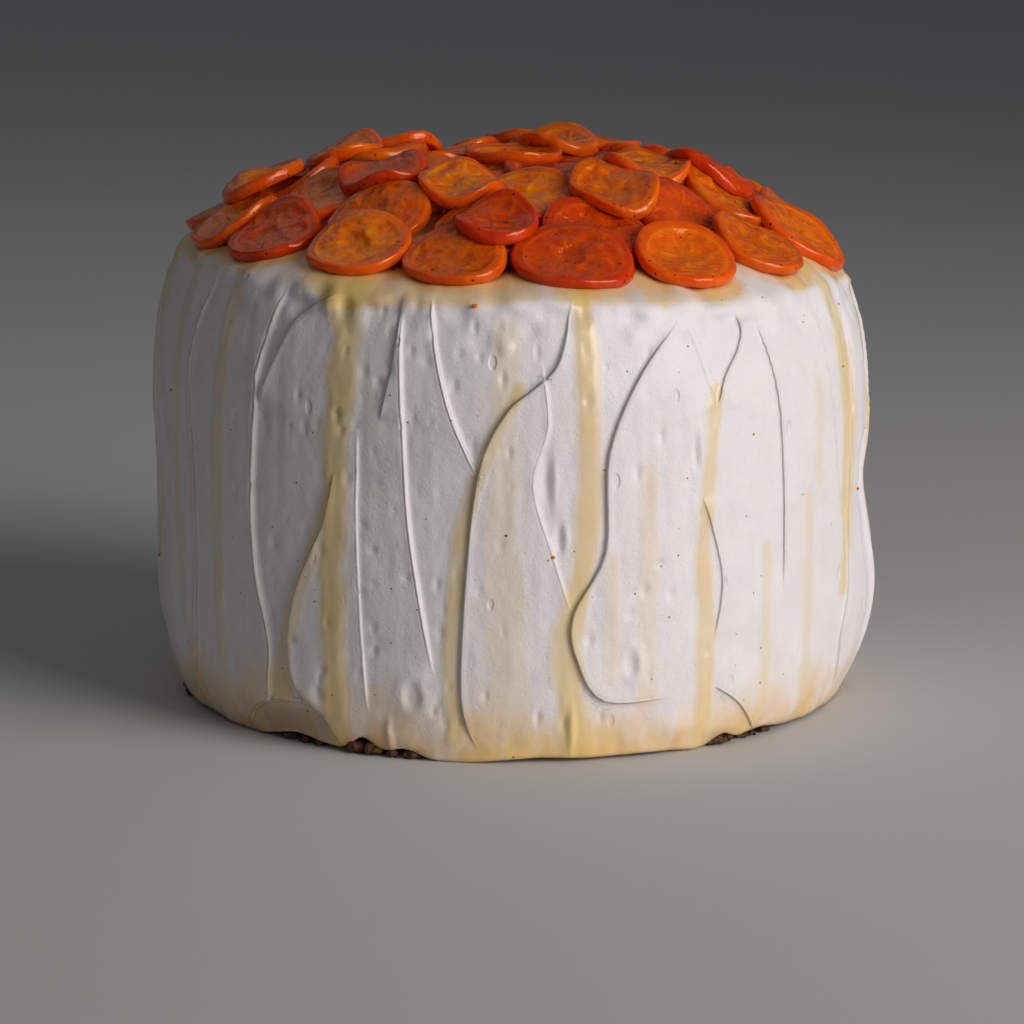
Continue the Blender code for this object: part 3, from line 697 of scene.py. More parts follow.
def spun_mesh(name, rows, columns):
    """A closed mesh spun about the vertical with its first and last row on the axis, and the row and the
    column of each vertex, whose real places are set afterwards."""
    shape = bmesh.new()
    corners = [shape.verts.new((0, -1.0 if 0 < row < rows - 1 else 0.0, row)) for row in range(rows)]
    for first, second in zip(corners, corners[1:]):
        shape.edges.new((first, second))
    bmesh.ops.spin(shape, geom=shape.verts[:] + shape.edges[:], cent=(0, 0, 0), axis=(0, 0, 1),
                   angle=math.tau, steps=columns, use_merge=True)
    bmesh.ops.remove_doubles(shape, verts=shape.verts[:], dist=1e-5)
    bmesh.ops.recalc_face_normals(shape, faces=shape.faces[:])
    mesh = bpy.data.meshes.new(name)
    shape.to_mesh(mesh)
    shape.free()
    places = np.empty(len(mesh.vertices) * 3)
    mesh.vertices.foreach_get("co", places)
    x, y, z = places.reshape(-1, 3).T
    turn = np.degrees(np.arctan2(x, -y)) + 180
    return mesh, np.rint(z).astype(int), np.rint(turn / 360 * columns).astype(int) % columns


def set_places(mesh, places):
    """Moves a mesh's vertices."""
    mesh.vertices.foreach_set("co", np.asarray(places, np.float32).ravel())
    mesh.update()


def set_amounts(mesh, name, amounts):
    """Keeps one number per vertex, for a material to read."""
    mesh.attributes.new(name, "FLOAT", "POINT").data.foreach_set("value", np.asarray(amounts, np.float32))


def made_piece(name, mesh, material, slot, *nodes):
    """A smooth-shaded piece that rides on the cake and stands for the nodes."""
    mesh.materials.append(material)
    mesh.shade_smooth()
    piece = bpy.data.objects.new(name, mesh)
    bpy.context.scene.collection.objects.link(piece)
    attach(piece, "root")
    if nodes:
        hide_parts(*nodes)
    return piece


class Recipe:
    """A material and the nodes that go into it."""

    def __init__(self, name):
        self.material = bpy.data.materials.new(name)
        self.material.use_nodes = True
        self.tree = self.material.node_tree
        self.shader = self.tree.nodes["Principled BSDF"]

    def node(self, kind, sockets=None, **settings):
        """A node with its settings, and its sockets set or linked."""
        made = self.tree.nodes.new(kind)
        for setting, value in settings.items():
            setattr(made, setting, value)
        for socket, value in (sockets or {}).items():
            self.feed(made, socket, value)
        return made

    def feed(self, node, socket, value):
        """Links an output to a socket, or sets the socket's value."""
        if isinstance(value, bpy.types.NodeSocket):
            self.tree.links.new(value, node.inputs[socket])
        else:
            node.inputs[socket].default_value = value

    def amount(self, name):
        """A number that the mesh keeps per vertex."""
        return self.node("ShaderNodeAttribute", attribute_name=name).outputs["Fac"]

    def place(self):
        """Object coordinates."""
        return self.node("ShaderNodeTexCoord").outputs["Object"]

    def noise(self, scale, detail=2.0, roughness=0.5, stretch=None):
        """Noise from 0 to 1."""
        where = self.place()
        if stretch:
            where = self.node("ShaderNodeMapping", {"Vector": where, "Scale": stretch}).outputs[0]
        sockets = {"Vector": where, "Scale": scale, "Detail": detail, "Roughness": roughness}
        return self.node("ShaderNodeTexNoise", sockets).outputs["Fac"]

    def ramp(self, value, low, high, to_low=0.0, to_high=1.0):
        """A value taken from one range to another, and held there."""
        sockets = {"Value": value, "From Min": low, "From Max": high, "To Min": to_low, "To Max": to_high}
        return self.node("ShaderNodeMapRange", sockets, interpolation_type="SMOOTHSTEP").outputs[0]

    def maths(self, operation, first, second):
        """Arithmetic on two values."""
        return self.node("ShaderNodeMath", {0: first, 1: second}, operation=operation).outputs[0]

    def mix(self, share, first, second):
        """One colour turned into another by share."""
        made = self.node("ShaderNodeMix", data_type="RGBA")
        self.feed(made, 0, share)
        self.feed(made, 6, first)
        self.feed(made, 7, second)
        return made.outputs[2]

    def specks(self, scale, size, kept, stretch=(1, 1, 1)):
        """1 on small round specks: kept is the share of the cells that have one."""
        where = self.node("ShaderNodeMapping", {"Vector": self.place(), "Scale": stretch}).outputs[0]
        cell = self.node("ShaderNodeTexVoronoi", {"Vector": where, "Scale": scale, "Randomness": 1.0})
        near = self.ramp(cell.outputs["Distance"], size, size * 0.5)
        chosen = self.maths("LESS_THAN", self.node("ShaderNodeSeparateColor",
                                                   {0: cell.outputs["Color"]}).outputs[0], kept)
        return self.maths("MULTIPLY", near, chosen)

    def bump(self, height, depth, strength=1.0):
        """Adds a bump of that depth in metres to the shader's normal."""
        made = self.node("ShaderNodeBump", {"Height": height, "Distance": depth, "Strength": strength})
        before = self.shader.inputs["Normal"].links
        if before:
            self.tree.links.new(before[0].from_socket, made.inputs["Normal"])
        self.feed(self.shader, "Normal", made.outputs[0])

    def set(self, **sockets):
        """Sets or links the shader's sockets, named with _ for a blank."""
        for socket, value in sockets.items():
            self.feed(self.shader, socket.replace("_", " "), value)


def opaque(colour):
    """A colour with full alpha."""
    return (*colour, 1.0)


class FrostingSettings(bpy.types.PropertyGroup):
    """The frosting's colours and the fineness of its mesh."""

    columns: IntProperty(name="Columns", description="Columns of the mesh round the cake", default=640,
                         min=60)
    wall_rows: IntProperty(name="Wall Rows", description="Rows of the mesh up the wall", default=126, min=10)
    cream: FloatVectorProperty(name="Cream", description="Clean frosting", subtype="COLOR", min=0, max=1,
                               default=(0.80, 0.75, 0.75))
    syrup: FloatVectorProperty(name="Syrup", description="Frosting under a run of syrup", subtype="COLOR",
                               min=0, max=1, default=(0.78, 0.55, 0.15))
    soaked: FloatVectorProperty(name="Soaked", description="Frosting soaked with syrup", subtype="COLOR",
                                min=0, max=1, default=(0.80, 0.52, 0.18))
    # Deep orange for the frosting near and under the slices: partly the fruit's stain, partly painted shade
    # in the gaps between and under the slices.
    stained_and_shaded: FloatVectorProperty(name="Stained", description="Frosting stained by the fruit",
                                 subtype="COLOR", min=0, max=1, default=(0.44, 0.085, 0.004))
    crumb_coat: FloatVectorProperty(name="Crumb Coat", description="Thin frosting over the sponge",
                                    subtype="COLOR", min=0, max=1, default=(0.46, 0.29, 0.15))


class SpongeSettings(bpy.types.PropertyGroup):
    """The sponge that shows at the foot."""

    crumb: FloatProperty(name="Crumb", description="How rough the sponge's side is", default=0.0006,
                         unit="LENGTH", min=0)
    dark: FloatVectorProperty(name="Dark", description="Hollows of the sponge", subtype="COLOR", min=0,
                              max=1, default=(0.028, 0.011, 0.005))
    light: FloatVectorProperty(name="Light", description="Crumbs of the sponge", subtype="COLOR", min=0,
                               max=1, default=(0.15, 0.065, 0.025))


class FruitSettings(bpy.types.PropertyGroup):
    """The candied slices."""

    columns: IntProperty(name="Columns", description="Columns of a slice's mesh", default=96, min=12)
    deep_peel: FloatVectorProperty(name="Deep Peel", description="Peel of the ripest slices",
                                   subtype="COLOR", min=0, max=1, default=(0.58, 0.045, 0.0))
    deep_pulp: FloatVectorProperty(name="Deep Pulp", description="Pulp of the ripest slices",
                                   subtype="COLOR", min=0, max=1, default=(0.68, 0.078, 0.001))
    orange_peel: FloatVectorProperty(name="Orange Peel", description="Peel of most slices",
                                     subtype="COLOR", min=0, max=1, default=(0.84, 0.120, 0.0))
    orange_pulp: FloatVectorProperty(name="Orange Pulp", description="Pulp of most slices",
                                     subtype="COLOR", min=0, max=1, default=(0.94, 0.190, 0.001))
    amber_peel: FloatVectorProperty(name="Amber Peel", description="Peel of the palest slices",
                                    subtype="COLOR", min=0, max=1, default=(0.70, 0.120, 0.0))
    amber_pulp: FloatVectorProperty(name="Amber Pulp", description="Pulp of the palest slices",
                                    subtype="COLOR", min=0, max=1, default=(0.78, 0.145, 0.001))


class SyrupSettings(bpy.types.PropertyGroup):
    """The syrup between the slices."""

    # Both colours are darker than the syrup alone: partly the syrup's own colour, partly painted shade in the
    # gaps between the slices where the film shows.
    deep: FloatVectorProperty(name="Deep", description="Thick syrup", subtype="COLOR", min=0, max=1,
                              default=(0.15, 0.010, 0.0))
    bright: FloatVectorProperty(name="Bright", description="Thin syrup", subtype="COLOR", min=0, max=1,
                                default=(0.34, 0.040, 0.0))


class StageSettings(bpy.types.PropertyGroup):
    """The floor and the light."""

    floor: FloatVectorProperty(name="Floor", description="The floor's colour", subtype="COLOR", min=0,
                               max=1, default=(0.60, 0.59, 0.58))
    key_power: FloatProperty(name="Key Power", description="Power of the large side light", default=3.9,
                             unit="POWER", min=0)
    fill_power: FloatProperty(name="Fill Power", description="Power of the weak front light", default=0.12,
                              unit="POWER", min=0)
    back_power: FloatProperty(name="Back Power", description="Power of the light behind", default=0.2,
                              unit="POWER", min=0)
    sky: FloatProperty(name="Sky", description="Strength of the even light all round", default=0.085, min=0)


class CAKE_OT_frosting(bpy.types.Operator):
    """Build the frosting with its knife strokes, dimples and runs of syrup"""

    bl_idname = "cake.frosting"
    bl_label = "Frosting"

    def execute(self, context):
        chosen = context.scene.cake_frosting
        mesh, rows, columns = spun_mesh("frosting_coat", chosen.wall_rows + DOME_ROWS + 4, chosen.columns)
        share = np.arange(chosen.columns) / chosen.columns
        even = -180 + 360 * share + FRONT_CROWDING * np.sin(math.tau * share)
        points, angles, depth, soak = self.points_and_syrup(even, chosen.wall_rows)
        low, high = (np.array(corner) for corner in CAD_BOX)
        margin = np.array((BOX_MARGIN, BOX_MARGIN, 0)) * MM
        set_places(mesh, np.clip(points[rows, columns], low + margin, high - margin))
        angle, height = angles[rows, columns], points[rows, columns, 2] / MM
        offset, weight = nearest_edge(angle, wall_level(angle, height))
        on_wall = (rows > 3) & (rows < 3 + chosen.wall_rows)
        set_amounts(mesh, "edge_offset", offset)
        set_amounts(mesh, "edge_weight", weight * on_wall)
        set_amounts(mesh, "syrup", depth[rows, columns])
        set_amounts(mesh, "soaked", soak[rows, columns])
        set_amounts(mesh, "scooped", scooped(angle, height) * on_wall)
        across, back = points[rows, columns, 0] / MM, points[rows, columns, 1] / MM
        # How near the slices each point is: the material uses it for the fruit's stain and for painted shade
        # under and between the slices.
        set_amounts(mesh, "near_fruit", field_value(NEAR_SLICES, across, back) * smooth((height - 98) / 5))
        made_piece("frosting_coat", mesh, self.material(chosen), "frosting", "frosting")
        return {"FINISHED"}

    @staticmethod
    def points_and_syrup(even, wall_rows):
        """The frosting's grid of points from the pocket's middle to the top's middle, their angles, and how
        much syrup lies on them and in them."""
        skirt, shoulder = skirt_height(even), shoulder_height(even)
        share = np.linspace(0, 1, wall_rows + 1)[:, None]
        angles = np.repeat(even[None], wall_rows + 1, axis=0)
        heights = skirt * (1 - share) + shoulder * share
        angles[1:-1], heights[1:-1] = pulled_to_edges(angles[1:-1], heights[1:-1])
        level = wall_level(angles, heights)
        depth = syrup_depth(angles, level)
        shaded = smooth((level - 97) / 5)
        soft = 1 - 0.2 * shaded
        radii = solid_radius(angles, level) + fine_relief(angles, level) * soft + SYRUP_RISE * depth
        wall = on_circle(radii, angles, heights)
        soak = soaked(angles, level, field_value(NEAR_SLICES, wall[..., 0] / MM, wall[..., 1] / MM))
        dome_share = 1 - (np.arange(1, DOME_ROWS + 1)[:, None] / DOME_ROWS) ** 1.9
        dome = on_circle(radii[-1] * dome_share, even, dome_height(even, dome_share))
        rough = 0.35 * uneven_flat(dome[..., 0] / MM, dome[..., 1] / MM, 4.0, 11)
        dome[..., 2] += rough * smooth((1 - dome_share) / 0.03) * smooth(dome_share / 0.1) * MM
        nearness = field_value(NEAR_SLICES, dome[..., 0] / MM, dome[..., 1] / MM)
        centre = on_circle(0 * even, even, POCKET_CEILING + 0 * even)
        ceiling = on_circle(POCKET_RADIUS + 0 * even, even, POCKET_CEILING + 0 * even)
        inner_edge = on_circle(POCKET_RADIUS + 0 * even, even, skirt)
        points = np.concatenate([centre[None], ceiling[None], inner_edge[None], rounded(wall, dome)])
        below = np.zeros((3, len(even)))
        angles = np.concatenate([below + even, angles, np.repeat(even[None], DOME_ROWS, axis=0)])
        on_top = np.ones((DOME_ROWS, len(even)))
        depth = np.concatenate([below, depth, on_top * depth[-1]])
        top_soak = soaked(on_top * even, SHOULDER_HEIGHT + 3 * (1 - dome_share), nearness)
        soak = np.concatenate([below, soak, top_soak])
        return points, angles, depth, soak

    @staticmethod
    def material(chosen):
        """Soft cream with fine air bubbles, vanilla specks, yellow syrup on it and in it, and deep orange
        near the slices that is partly the fruit's stain and partly painted shade.
        """
        recipe = Recipe("cream frosting")
        syrup, soak = recipe.amount("syrup"), recipe.amount("soaked")
        mottled = recipe.noise(120, 3)
        cream = recipe.mix(recipe.ramp(mottled, 0.35, 0.7), opaque(np.array(chosen.cream) * 0.95),
                           opaque(chosen.cream))
        broken_soak = recipe.maths("MULTIPLY", soak, recipe.ramp(recipe.noise(260, 3), 0.2, 0.6, 0.7, 0.95))
        colour = recipe.mix(broken_soak, cream, opaque(chosen.soaked))
        colour = recipe.mix(recipe.maths("MULTIPLY", syrup, 0.8), colour, opaque(chosen.syrup))
        thin = recipe.maths("MULTIPLY", recipe.amount("scooped"), 0.85)
        colour = recipe.mix(thin, colour, opaque(chosen.crumb_coat))
        # Deep orange near and under the slices: partly the fruit's stain, partly painted shade in the gaps
        # between and under the slices.
        orange = recipe.ramp(recipe.amount("near_fruit"), 0.38, 0.8, 0.0, 1.0)
        colour = recipe.mix(orange, colour, opaque(chosen.stained_and_shaded))
        specks = recipe.specks(520, 0.16, 0.05)
        colour = recipe.mix(recipe.maths("MULTIPLY", specks, 0.8), colour, (0.02, 0.012, 0.008, 1))
        wet = recipe.maths("MAXIMUM", syrup, recipe.maths("MULTIPLY", soak, 0.7))
        recipe.set(Base_Color=colour, Roughness=recipe.ramp(wet, 0.0, 0.8, 0.5, 0.15),
                   Subsurface_Weight=0.3, Subsurface_Radius=(1.0, 0.8, 0.65), Subsurface_Scale=0.001,
                   Specular_IOR_Level=0.4)
        dry = recipe.ramp(wet, 0.1, 0.7, 1.0, 0.12)
        grain = recipe.maths("MULTIPLY", recipe.noise(1500, 2, 0.6), dry)
        bubbles = recipe.node("ShaderNodeTexVoronoi", {"Vector": recipe.place(), "Scale": 700.0})
        pores = recipe.maths("MULTIPLY", recipe.ramp(bubbles.outputs["Distance"], 0.0, 0.35), dry)
        recipe.bump(grain, 0.00008)
        recipe.bump(pores, 0.00004)
        pits = recipe.specks(150, 0.16, 0.4, (1, 1, 0.5))
        recipe.bump(recipe.maths("MULTIPLY", pits, dry), -0.0003)
        offset = recipe.amount("edge_offset")
        crest = recipe.maths("MULTIPLY", recipe.ramp(offset, -0.25, 0.15), recipe.ramp(offset, 0.75, 0.2))
        recipe.bump(recipe.maths("MULTIPLY", crest, recipe.amount("edge_weight")), 0.00035)
        return recipe.material


class CAKE_OT_sponge(bpy.types.Operator):
    """Build the dark sponge that shows under the frosting's lower edge"""

    bl_idname = "cake.sponge"
    bl_label = "Sponge"

    def execute(self, context):
        chosen = context.scene.cake_sponge
        low, high = (np.array(corner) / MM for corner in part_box("sponge_base"))
        radius, top = high[0], high[2]
        mesh, row, column = spun_mesh("sponge_foot", SPONGE_ROWS, SPONGE_COLUMNS)
        share = np.clip((row - 2) / (SPONGE_ROWS - 5), 0, 1)
        angle = column / SPONGE_COLUMNS * 360 - 180
        height = share * top
        rough = 0.55 * uneven(angle, height * 4, 150, 9, 21) + 0.45 * uneven(angle, height * 4, 400, 24, 22)
        edge = SPONGE_EDGE_INSET * (2 * share - 1) ** 6
        rim = radius - SPONGE_INSET - edge + rough * chosen.crumb / MM
        inner = radius * SPONGE_INNER_SHARE
        end_rows = [row < 1, row < 2, row > SPONGE_ROWS - 2, row > SPONGE_ROWS - 3]
        rim = np.select(end_rows, [0, inner, 0, inner], rim)
        set_places(mesh, np.clip(on_circle(rim, angle, height), low * MM, high * MM))
        made_piece("sponge_foot", mesh, self.material(chosen), "sponge", "sponge_base")
        return {"FINISHED"}

    @staticmethod
    def material(chosen):
        """Moist dark crumb with open pores."""
        recipe = Recipe("dark sponge")
        pores = recipe.node("ShaderNodeTexVoronoi", {"Vector": recipe.place(), "Scale": 620.0})
        open_crumb = recipe.ramp(pores.outputs["Distance"], 0.1, 0.6)
        colour = recipe.mix(recipe.noise(420, 4), opaque(chosen.dark), opaque(chosen.light))
        recipe.set(Base_Color=colour, Roughness=0.75, Subsurface_Weight=0.15, Subsurface_Scale=0.001)
        recipe.bump(open_crumb, 0.0006)
        recipe.bump(recipe.noise(1800, 3), 0.0003)
        return recipe.material


class CAKE_OT_crumbs(bpy.types.Operator):
    """Scatter the sponge crumbs at the foot and the few crumbs of fruit on the wall"""

    bl_idname = "cake.crumbs"
    bl_label = "Crumbs"

    def execute(self, context):
        draw = random.Random(CRUMB_SEED)
        chunks = []
        for notch in SKIRT_NOTCHES:
            for _ in range(round(notch.half_width * notch.rise * 2.2)):
                angle = notch.angle + draw.uniform(-0.9, 0.9) * notch.half_width
                size = draw.uniform(0.35, 0.5 + 0.45 * notch.rise)
                radius = float(solid_radius(np.array([angle]), np.array([2.0]))[0]) - draw.uniform(0.6, 2.2)
                chunks.append((angle, radius, size * 0.9, size))
        finish = CAKE_OT_sponge.material(context.scene.cake_sponge)
        self.scatter("sponge_crumbs", chunks, finish, "sponge", draw)
        bits = []
        for angle, level, size in (*FRUIT_BITS, *((draw.uniform(60, 300), draw.uniform(20, 100),
                                                   draw.uniform(0.3, 0.6)) for _ in range(12))):
            where = np.array([angle]), np.array([level])
            radius = float((solid_radius(*where) + fine_relief(*where))[0])
            bits.append((angle, radius - 0.2 * size, level, size))
        finish = CAKE_OT_slices.material(context.scene.cake_fruit, "orange")
        self.scatter("fruit_crumbs", bits, finish, "kumquat orange", draw)
        return {"FINISHED"}

    @staticmethod
    def scatter(name, places, finish, slot, draw):
        """One piece of many rough lumps, each with its angle, radius, height and size."""
        shape = bmesh.new()
        for angle, radius, height, size in places:
            lump = bmesh.ops.create_icosphere(shape, subdivisions=3, radius=size * MM)["verts"]
            middle = Vector(on_circle(np.array(radius), np.array(angle), height))
            stretch = Vector((draw.uniform(0.8, 1.4), draw.uniform(0.7, 1.1), draw.uniform(0.6, 0.95)))
            phase = draw.uniform(0, 9)
            for vert in lump:
                way = vert.co.normalized()
                rough = 1 + 0.16 * math.sin(5 * way.x + phase) * math.sin(6 * way.y + 2 * phase)
                rough += 0.09 * math.sin(13 * way.z + phase) * math.sin(11 * way.x + 3 * phase)
                vert.co = vert.co * stretch * rough + middle
                vert.co.z = max(vert.co.z, 0.0001)
        bmesh.ops.recalc_face_normals(shape, faces=shape.faces[:])
        mesh = bpy.data.meshes.new(name)
        shape.to_mesh(mesh)
        shape.free()
        made_piece(name, mesh, finish, slot)


class SliceLie(NamedTuple):
    """How a slice lies: its middle, its three axes as rows, its radius with the two numbers of its
    out-of-roundness, and the six of the surface under it."""

    middle: np.ndarray
    axes: np.ndarray
    roundness: np.ndarray
    base: np.ndarray

    def radius(self, turn):
        """The radius in a direction."""
        return np.stack([np.ones_like(turn), np.cos(2 * turn), np.sin(2 * turn)], -1) @ self.roundness

    def world(self, across, along, above):
        """Points in metres from places on the slice."""
        up = above + bend_terms(across, along) @ self.base
        return (self.middle + np.stack([across, along, up], -1) @ self.axes) * MM


def bend_terms(across, along):
    """The terms of a tilted and bent surface."""
    return np.stack([np.ones_like(across), across, along, across ** 2, along ** 2, across * along], -1)


def slice_lie(node):
    """How the solid slice lies, worked out from its vertices."""
    corners = np.array([vert.co for vert in frame["nodes"][node].data.vertices]) / MM
    corners = np.unique(np.round(corners, 4), axis=0)
    middle = corners.mean(0)
    _, _, axes = np.linalg.svd(corners - middle, full_matrices=False)
    if axes[2, 2] < 0:
        axes[2] = -axes[2]
    axes[1] = np.cross(axes[2], axes[0])
    across, along, above = ((corners - middle) @ axes.T).T
    reach = np.hypot(across, along)
    share = reach / reach.max()
    rim = share > 0.9
    upper = above > above[rim].mean()
    where = [rim, (share > 0.72) & upper, (share > 0.3) & upper, upper]
    level = np.select(where, [0.45, 1.0, 0.78, 0.7], 0.0)
    base = np.linalg.lstsq(bend_terms(across, along), above - level * SLICE_THICKNESS, rcond=None)[0]
    turn = np.arctan2(along[rim], across[rim])
    terms = np.stack([np.ones_like(turn), np.cos(2 * turn), np.sin(2 * turn)], -1)
    roundness = np.linalg.lstsq(terms, reach[rim], rcond=None)[0]
    return SliceLie(middle, axes, roundness, base)


def sinking(lie, across, along):
    """How far a soft slice sinks on to what lies under it: it keeps touching where it rests and droops
    smoothly in between."""
    under = lie.world(across, along, 0 * across) / MM
    gap = under[:, 2] - field_value(TOPPING["height"], under[:, 0], under[:, 1])
    gap = np.clip(gap, -MOST_LIFT, None)
    x, y = across / lie.roundness[0], along / lie.roundness[0]
    terms = np.stack([x ** i * y ** j for i in range(4) for j in range(4 - i)], -1)
    weight = 1 / (gap - gap.min() + TOUCH_SOFTNESS)
    fitted = terms @ np.linalg.lstsq(terms * weight[:, None], gap * weight, rcond=None)[0]
    return np.clip(fitted, -MOST_LIFT, MOST_SINKING)


def slice_profile():
    """The rows of a slice from the middle of its underside round the rim to the middle of its top, as
    shares of its radius and of its thickness, with 1 where a row is on the top."""
    under = [(share, 0.0, 0) for share in (0.0, 0.45, 0.75)]
    rim = [(RIM_START + (1 - RIM_START) * math.cos(turn) ** 0.6,
            RIM_MIDDLE + 0.53 * math.copysign(abs(math.sin(turn)) ** 0.9, turn), 0)
           for turn in np.radians(np.linspace(-89, 89, 14))]
    top = [(share, 1.0, 1) for share in np.linspace(RIM_START, 0, 24)[1:]]
    return np.array(under + rim + top)


class CAKE_OT_slices(bpy.types.Operator):
    """Build the candied kumquat slices where the solid ones lie"""

    bl_idname = "cake.slices"
    bl_label = "Kumquat Slices"

    def execute(self, context):
        chosen = context.scene.cake_fruit
        profile = slice_profile()
        template, row, column = spun_mesh("slice_template", len(profile), chosen.columns)
        share, level, on_top = profile[row].T
        turn = column / chosen.columns * math.tau
        finishes = {f"kumquat {tint}": self.material(chosen, tint) for tint in ("deep", "orange", "amber")}
        slots = {part["node"]: part["material_slot"] for part in frame["record"]["subparts"]}
        for number, node in enumerate(slice_nodes(), 1):
            mesh = template.copy()
            mesh.name = f"candied_slice_{number:02d}"
            self.shape(mesh, slice_lie(node), share, level, on_top, turn, SLICE_SEED + number)
            lay_on(TOPPING["height"], mesh)
            made_piece(mesh.name, mesh, finishes[slots[node]], slots[node], node)
        bpy.data.meshes.remove(template)
        return {"FINISHED"}

    @staticmethod
    def shape(mesh, lie, share, level, on_top, turn, seed):
        """Sets a slice's places: a plump rim of peel, a groove, and sunken pulp between its membranes."""
        draw = random.Random(seed)
        angle, height = np.degrees(turn), share * 100
        radius = lie.radius(turn) * (1 + 0.018 * uneven(angle, height * 0, 9, 1, seed))
        count = draw.choice((5, 6, 6, 7))
        first = draw.uniform(0, math.tau)
        walls = [first + (k + draw.uniform(-0.16, 0.16)) * math.tau / count for k in range(count)]
        ridge = np.zeros(turn.shape)
        across, along = share * radius * np.cos(turn), share * radius * np.sin(turn)
        for wall in walls:
            swing = turn - wall + 0.5 * (share - 0.4) * draw.uniform(-1, 1)
            off = np.abs(np.sin(swing)) * share * radius
            ridge = np.maximum(ridge, np.where(np.cos(swing) > 0, np.exp(-(off / 0.38) ** 2), 0))
        inside = smooth((0.83 - share) / 0.12)
        broken = smooth(0.75 + uneven_flat(across, along, 2.6, seed + 500))
        ridge = ridge * inside * broken * smooth((share - 0.1) / 0.15)
        wrinkle = uneven_flat(across, along, 3.2, seed + 100)
        wrinkle = wrinkle + 0.6 * uneven_flat(across, along, 1.5, seed + 200)
        crease = uneven(angle, height * 0, 30, 1, seed + 600) * smooth((share - 0.45) / 0.35)
        centre_off = [draw.uniform(-0.16, 0.16) * radius.mean() for _ in range(2)]
        torn = np.hypot(across - centre_off[0], along - centre_off[1]) / radius.mean()
        torn = torn * (1 + 0.35 * uneven_flat(across, along, 3.0, seed + 300))
        hollow = draw.uniform(0.5, 1.0) * (1 - smooth((torn - 0.16) / draw.uniform(0.16, 0.36)))
        pulp = -(1 - PULP_LEVEL) * SLICE_THICKNESS * smooth((RIM_START + 0.04 - share) / 0.22)
        relief = pulp + inside * (0.18 * ridge + 0.36 * wrinkle + 0.22 * crease) - 0.75 * hollow
        side = 0.10 * uneven(angle, level * 60, 40, 8, seed + 400)
        above = level * SLICE_THICKNESS + on_top * relief + (1 - on_top) * level * side
        reach = share * radius + (1 - on_top) * smooth((share - 0.9) / 0.1) * side
        places = lie.world(reach * np.cos(turn), reach * np.sin(turn), above)
        places[:, 2] -= sinking(lie, across, along) * MM
        places[:, 2] = np.minimum(places[:, 2], CAD_BOX[1].z - BOX_MARGIN * MM)
        set_places(mesh, places)
        set_amounts(mesh, "peel", 1 - on_top * smooth((0.86 - share) / 0.06))
        set_amounts(mesh, "share", share)
        set_amounts(mesh, "pith", on_top * np.exp(-((share - 0.80) / 0.045) ** 2))
        set_amounts(mesh, "ridge", ridge * on_top)
        set_amounts(mesh, "hollow", on_top * hollow)
        set_amounts(mesh, "ripe", np.full(share.shape, draw.uniform(-1, 1)))

    @staticmethod
    def material(chosen, tint):
        """Glossy candied fruit that light soaks into, with black vanilla specks."""
        peel, pulp = (np.array(getattr(chosen, f"{tint}_{part}")) for part in ("peel", "pulp"))
        recipe = Recipe(f"kumquat {tint}")
        cloudy = recipe.noise(160, 3, 0.5)
        veins = recipe.noise(420, 2, 0.5)
        peel_colour = recipe.mix(recipe.ramp(cloudy, 0.3, 0.7), opaque(peel * (0.85, 0.7, 0.6)),
                                 opaque(np.minimum(peel * (1.08, 1.35, 1.3), 1)))
        pulp_colour = recipe.mix(recipe.ramp(veins, 0.3, 0.72), opaque(pulp * (0.85, 0.62, 0.4)),
                                 opaque(np.minimum(pulp * (1.1, 1.15, 1.2), 1)))
        clear = opaque(np.minimum(pulp * (1.2, 1.9, 2.0), 1))
        inward = recipe.ramp(recipe.amount("share"), 0.75, 0.2, 0.0, 0.45)
        pulp_colour = recipe.mix(inward, pulp_colour, clear)
        membranes = recipe.maths("MAXIMUM", recipe.amount("ridge"), recipe.amount("pith"))
        pulp_colour = recipe.mix(recipe.maths("MULTIPLY", membranes, 0.6), pulp_colour, clear)
        # Darker, redder pulp in the torn hollow at the middle: painted shade in the recess.
        pulp_colour = recipe.mix(recipe.maths("MULTIPLY", recipe.amount("hollow"), 0.5), pulp_colour,
                                 opaque(pulp * (0.6, 0.4, 0.4)))
        colour = recipe.mix(recipe.amount("peel"), pulp_colour, peel_colour)
        ripe = recipe.ramp(recipe.amount("ripe"), -1, 1, 0.0, 0.4)
        colour = recipe.mix(ripe, colour, opaque(peel * (0.9, 0.6, 0.4)))
        on_peel = recipe.maths("MULTIPLY", recipe.specks(430, 0.17, 0.8), recipe.amount("peel"))
        specks = recipe.maths("MAXIMUM", on_peel, recipe.specks(430, 0.13, 0.25))
        colour = recipe.mix(recipe.maths("MULTIPLY", specks, 0.95), colour, (0.012, 0.005, 0.003, 1))
        recipe.set(Base_Color=colour, Roughness=recipe.ramp(veins, 0.2, 0.8, 0.10, 0.26),
                   Subsurface_Weight=1.0, Subsurface_Radius=(1.0, 0.28, 0.06), Subsurface_Scale=0.004,
                   Specular_IOR_Level=0.4, Specular_Tint=(1.0, 0.62, 0.35, 1), Coat_Weight=0.35,
                   Coat_Roughness=0.03, Coat_Tint=(1.0, 0.75, 0.45, 1))
        softer = recipe.ramp(recipe.amount("peel"), 0, 1, 1.0, 0.25)
        crinkle = recipe.maths("MULTIPLY", recipe.noise(330, 3, 0.6), softer)
        recipe.bump(crinkle, 0.0009)
        recipe.bump(recipe.noise(900, 2, 0.5), 0.0002)
        return recipe.material


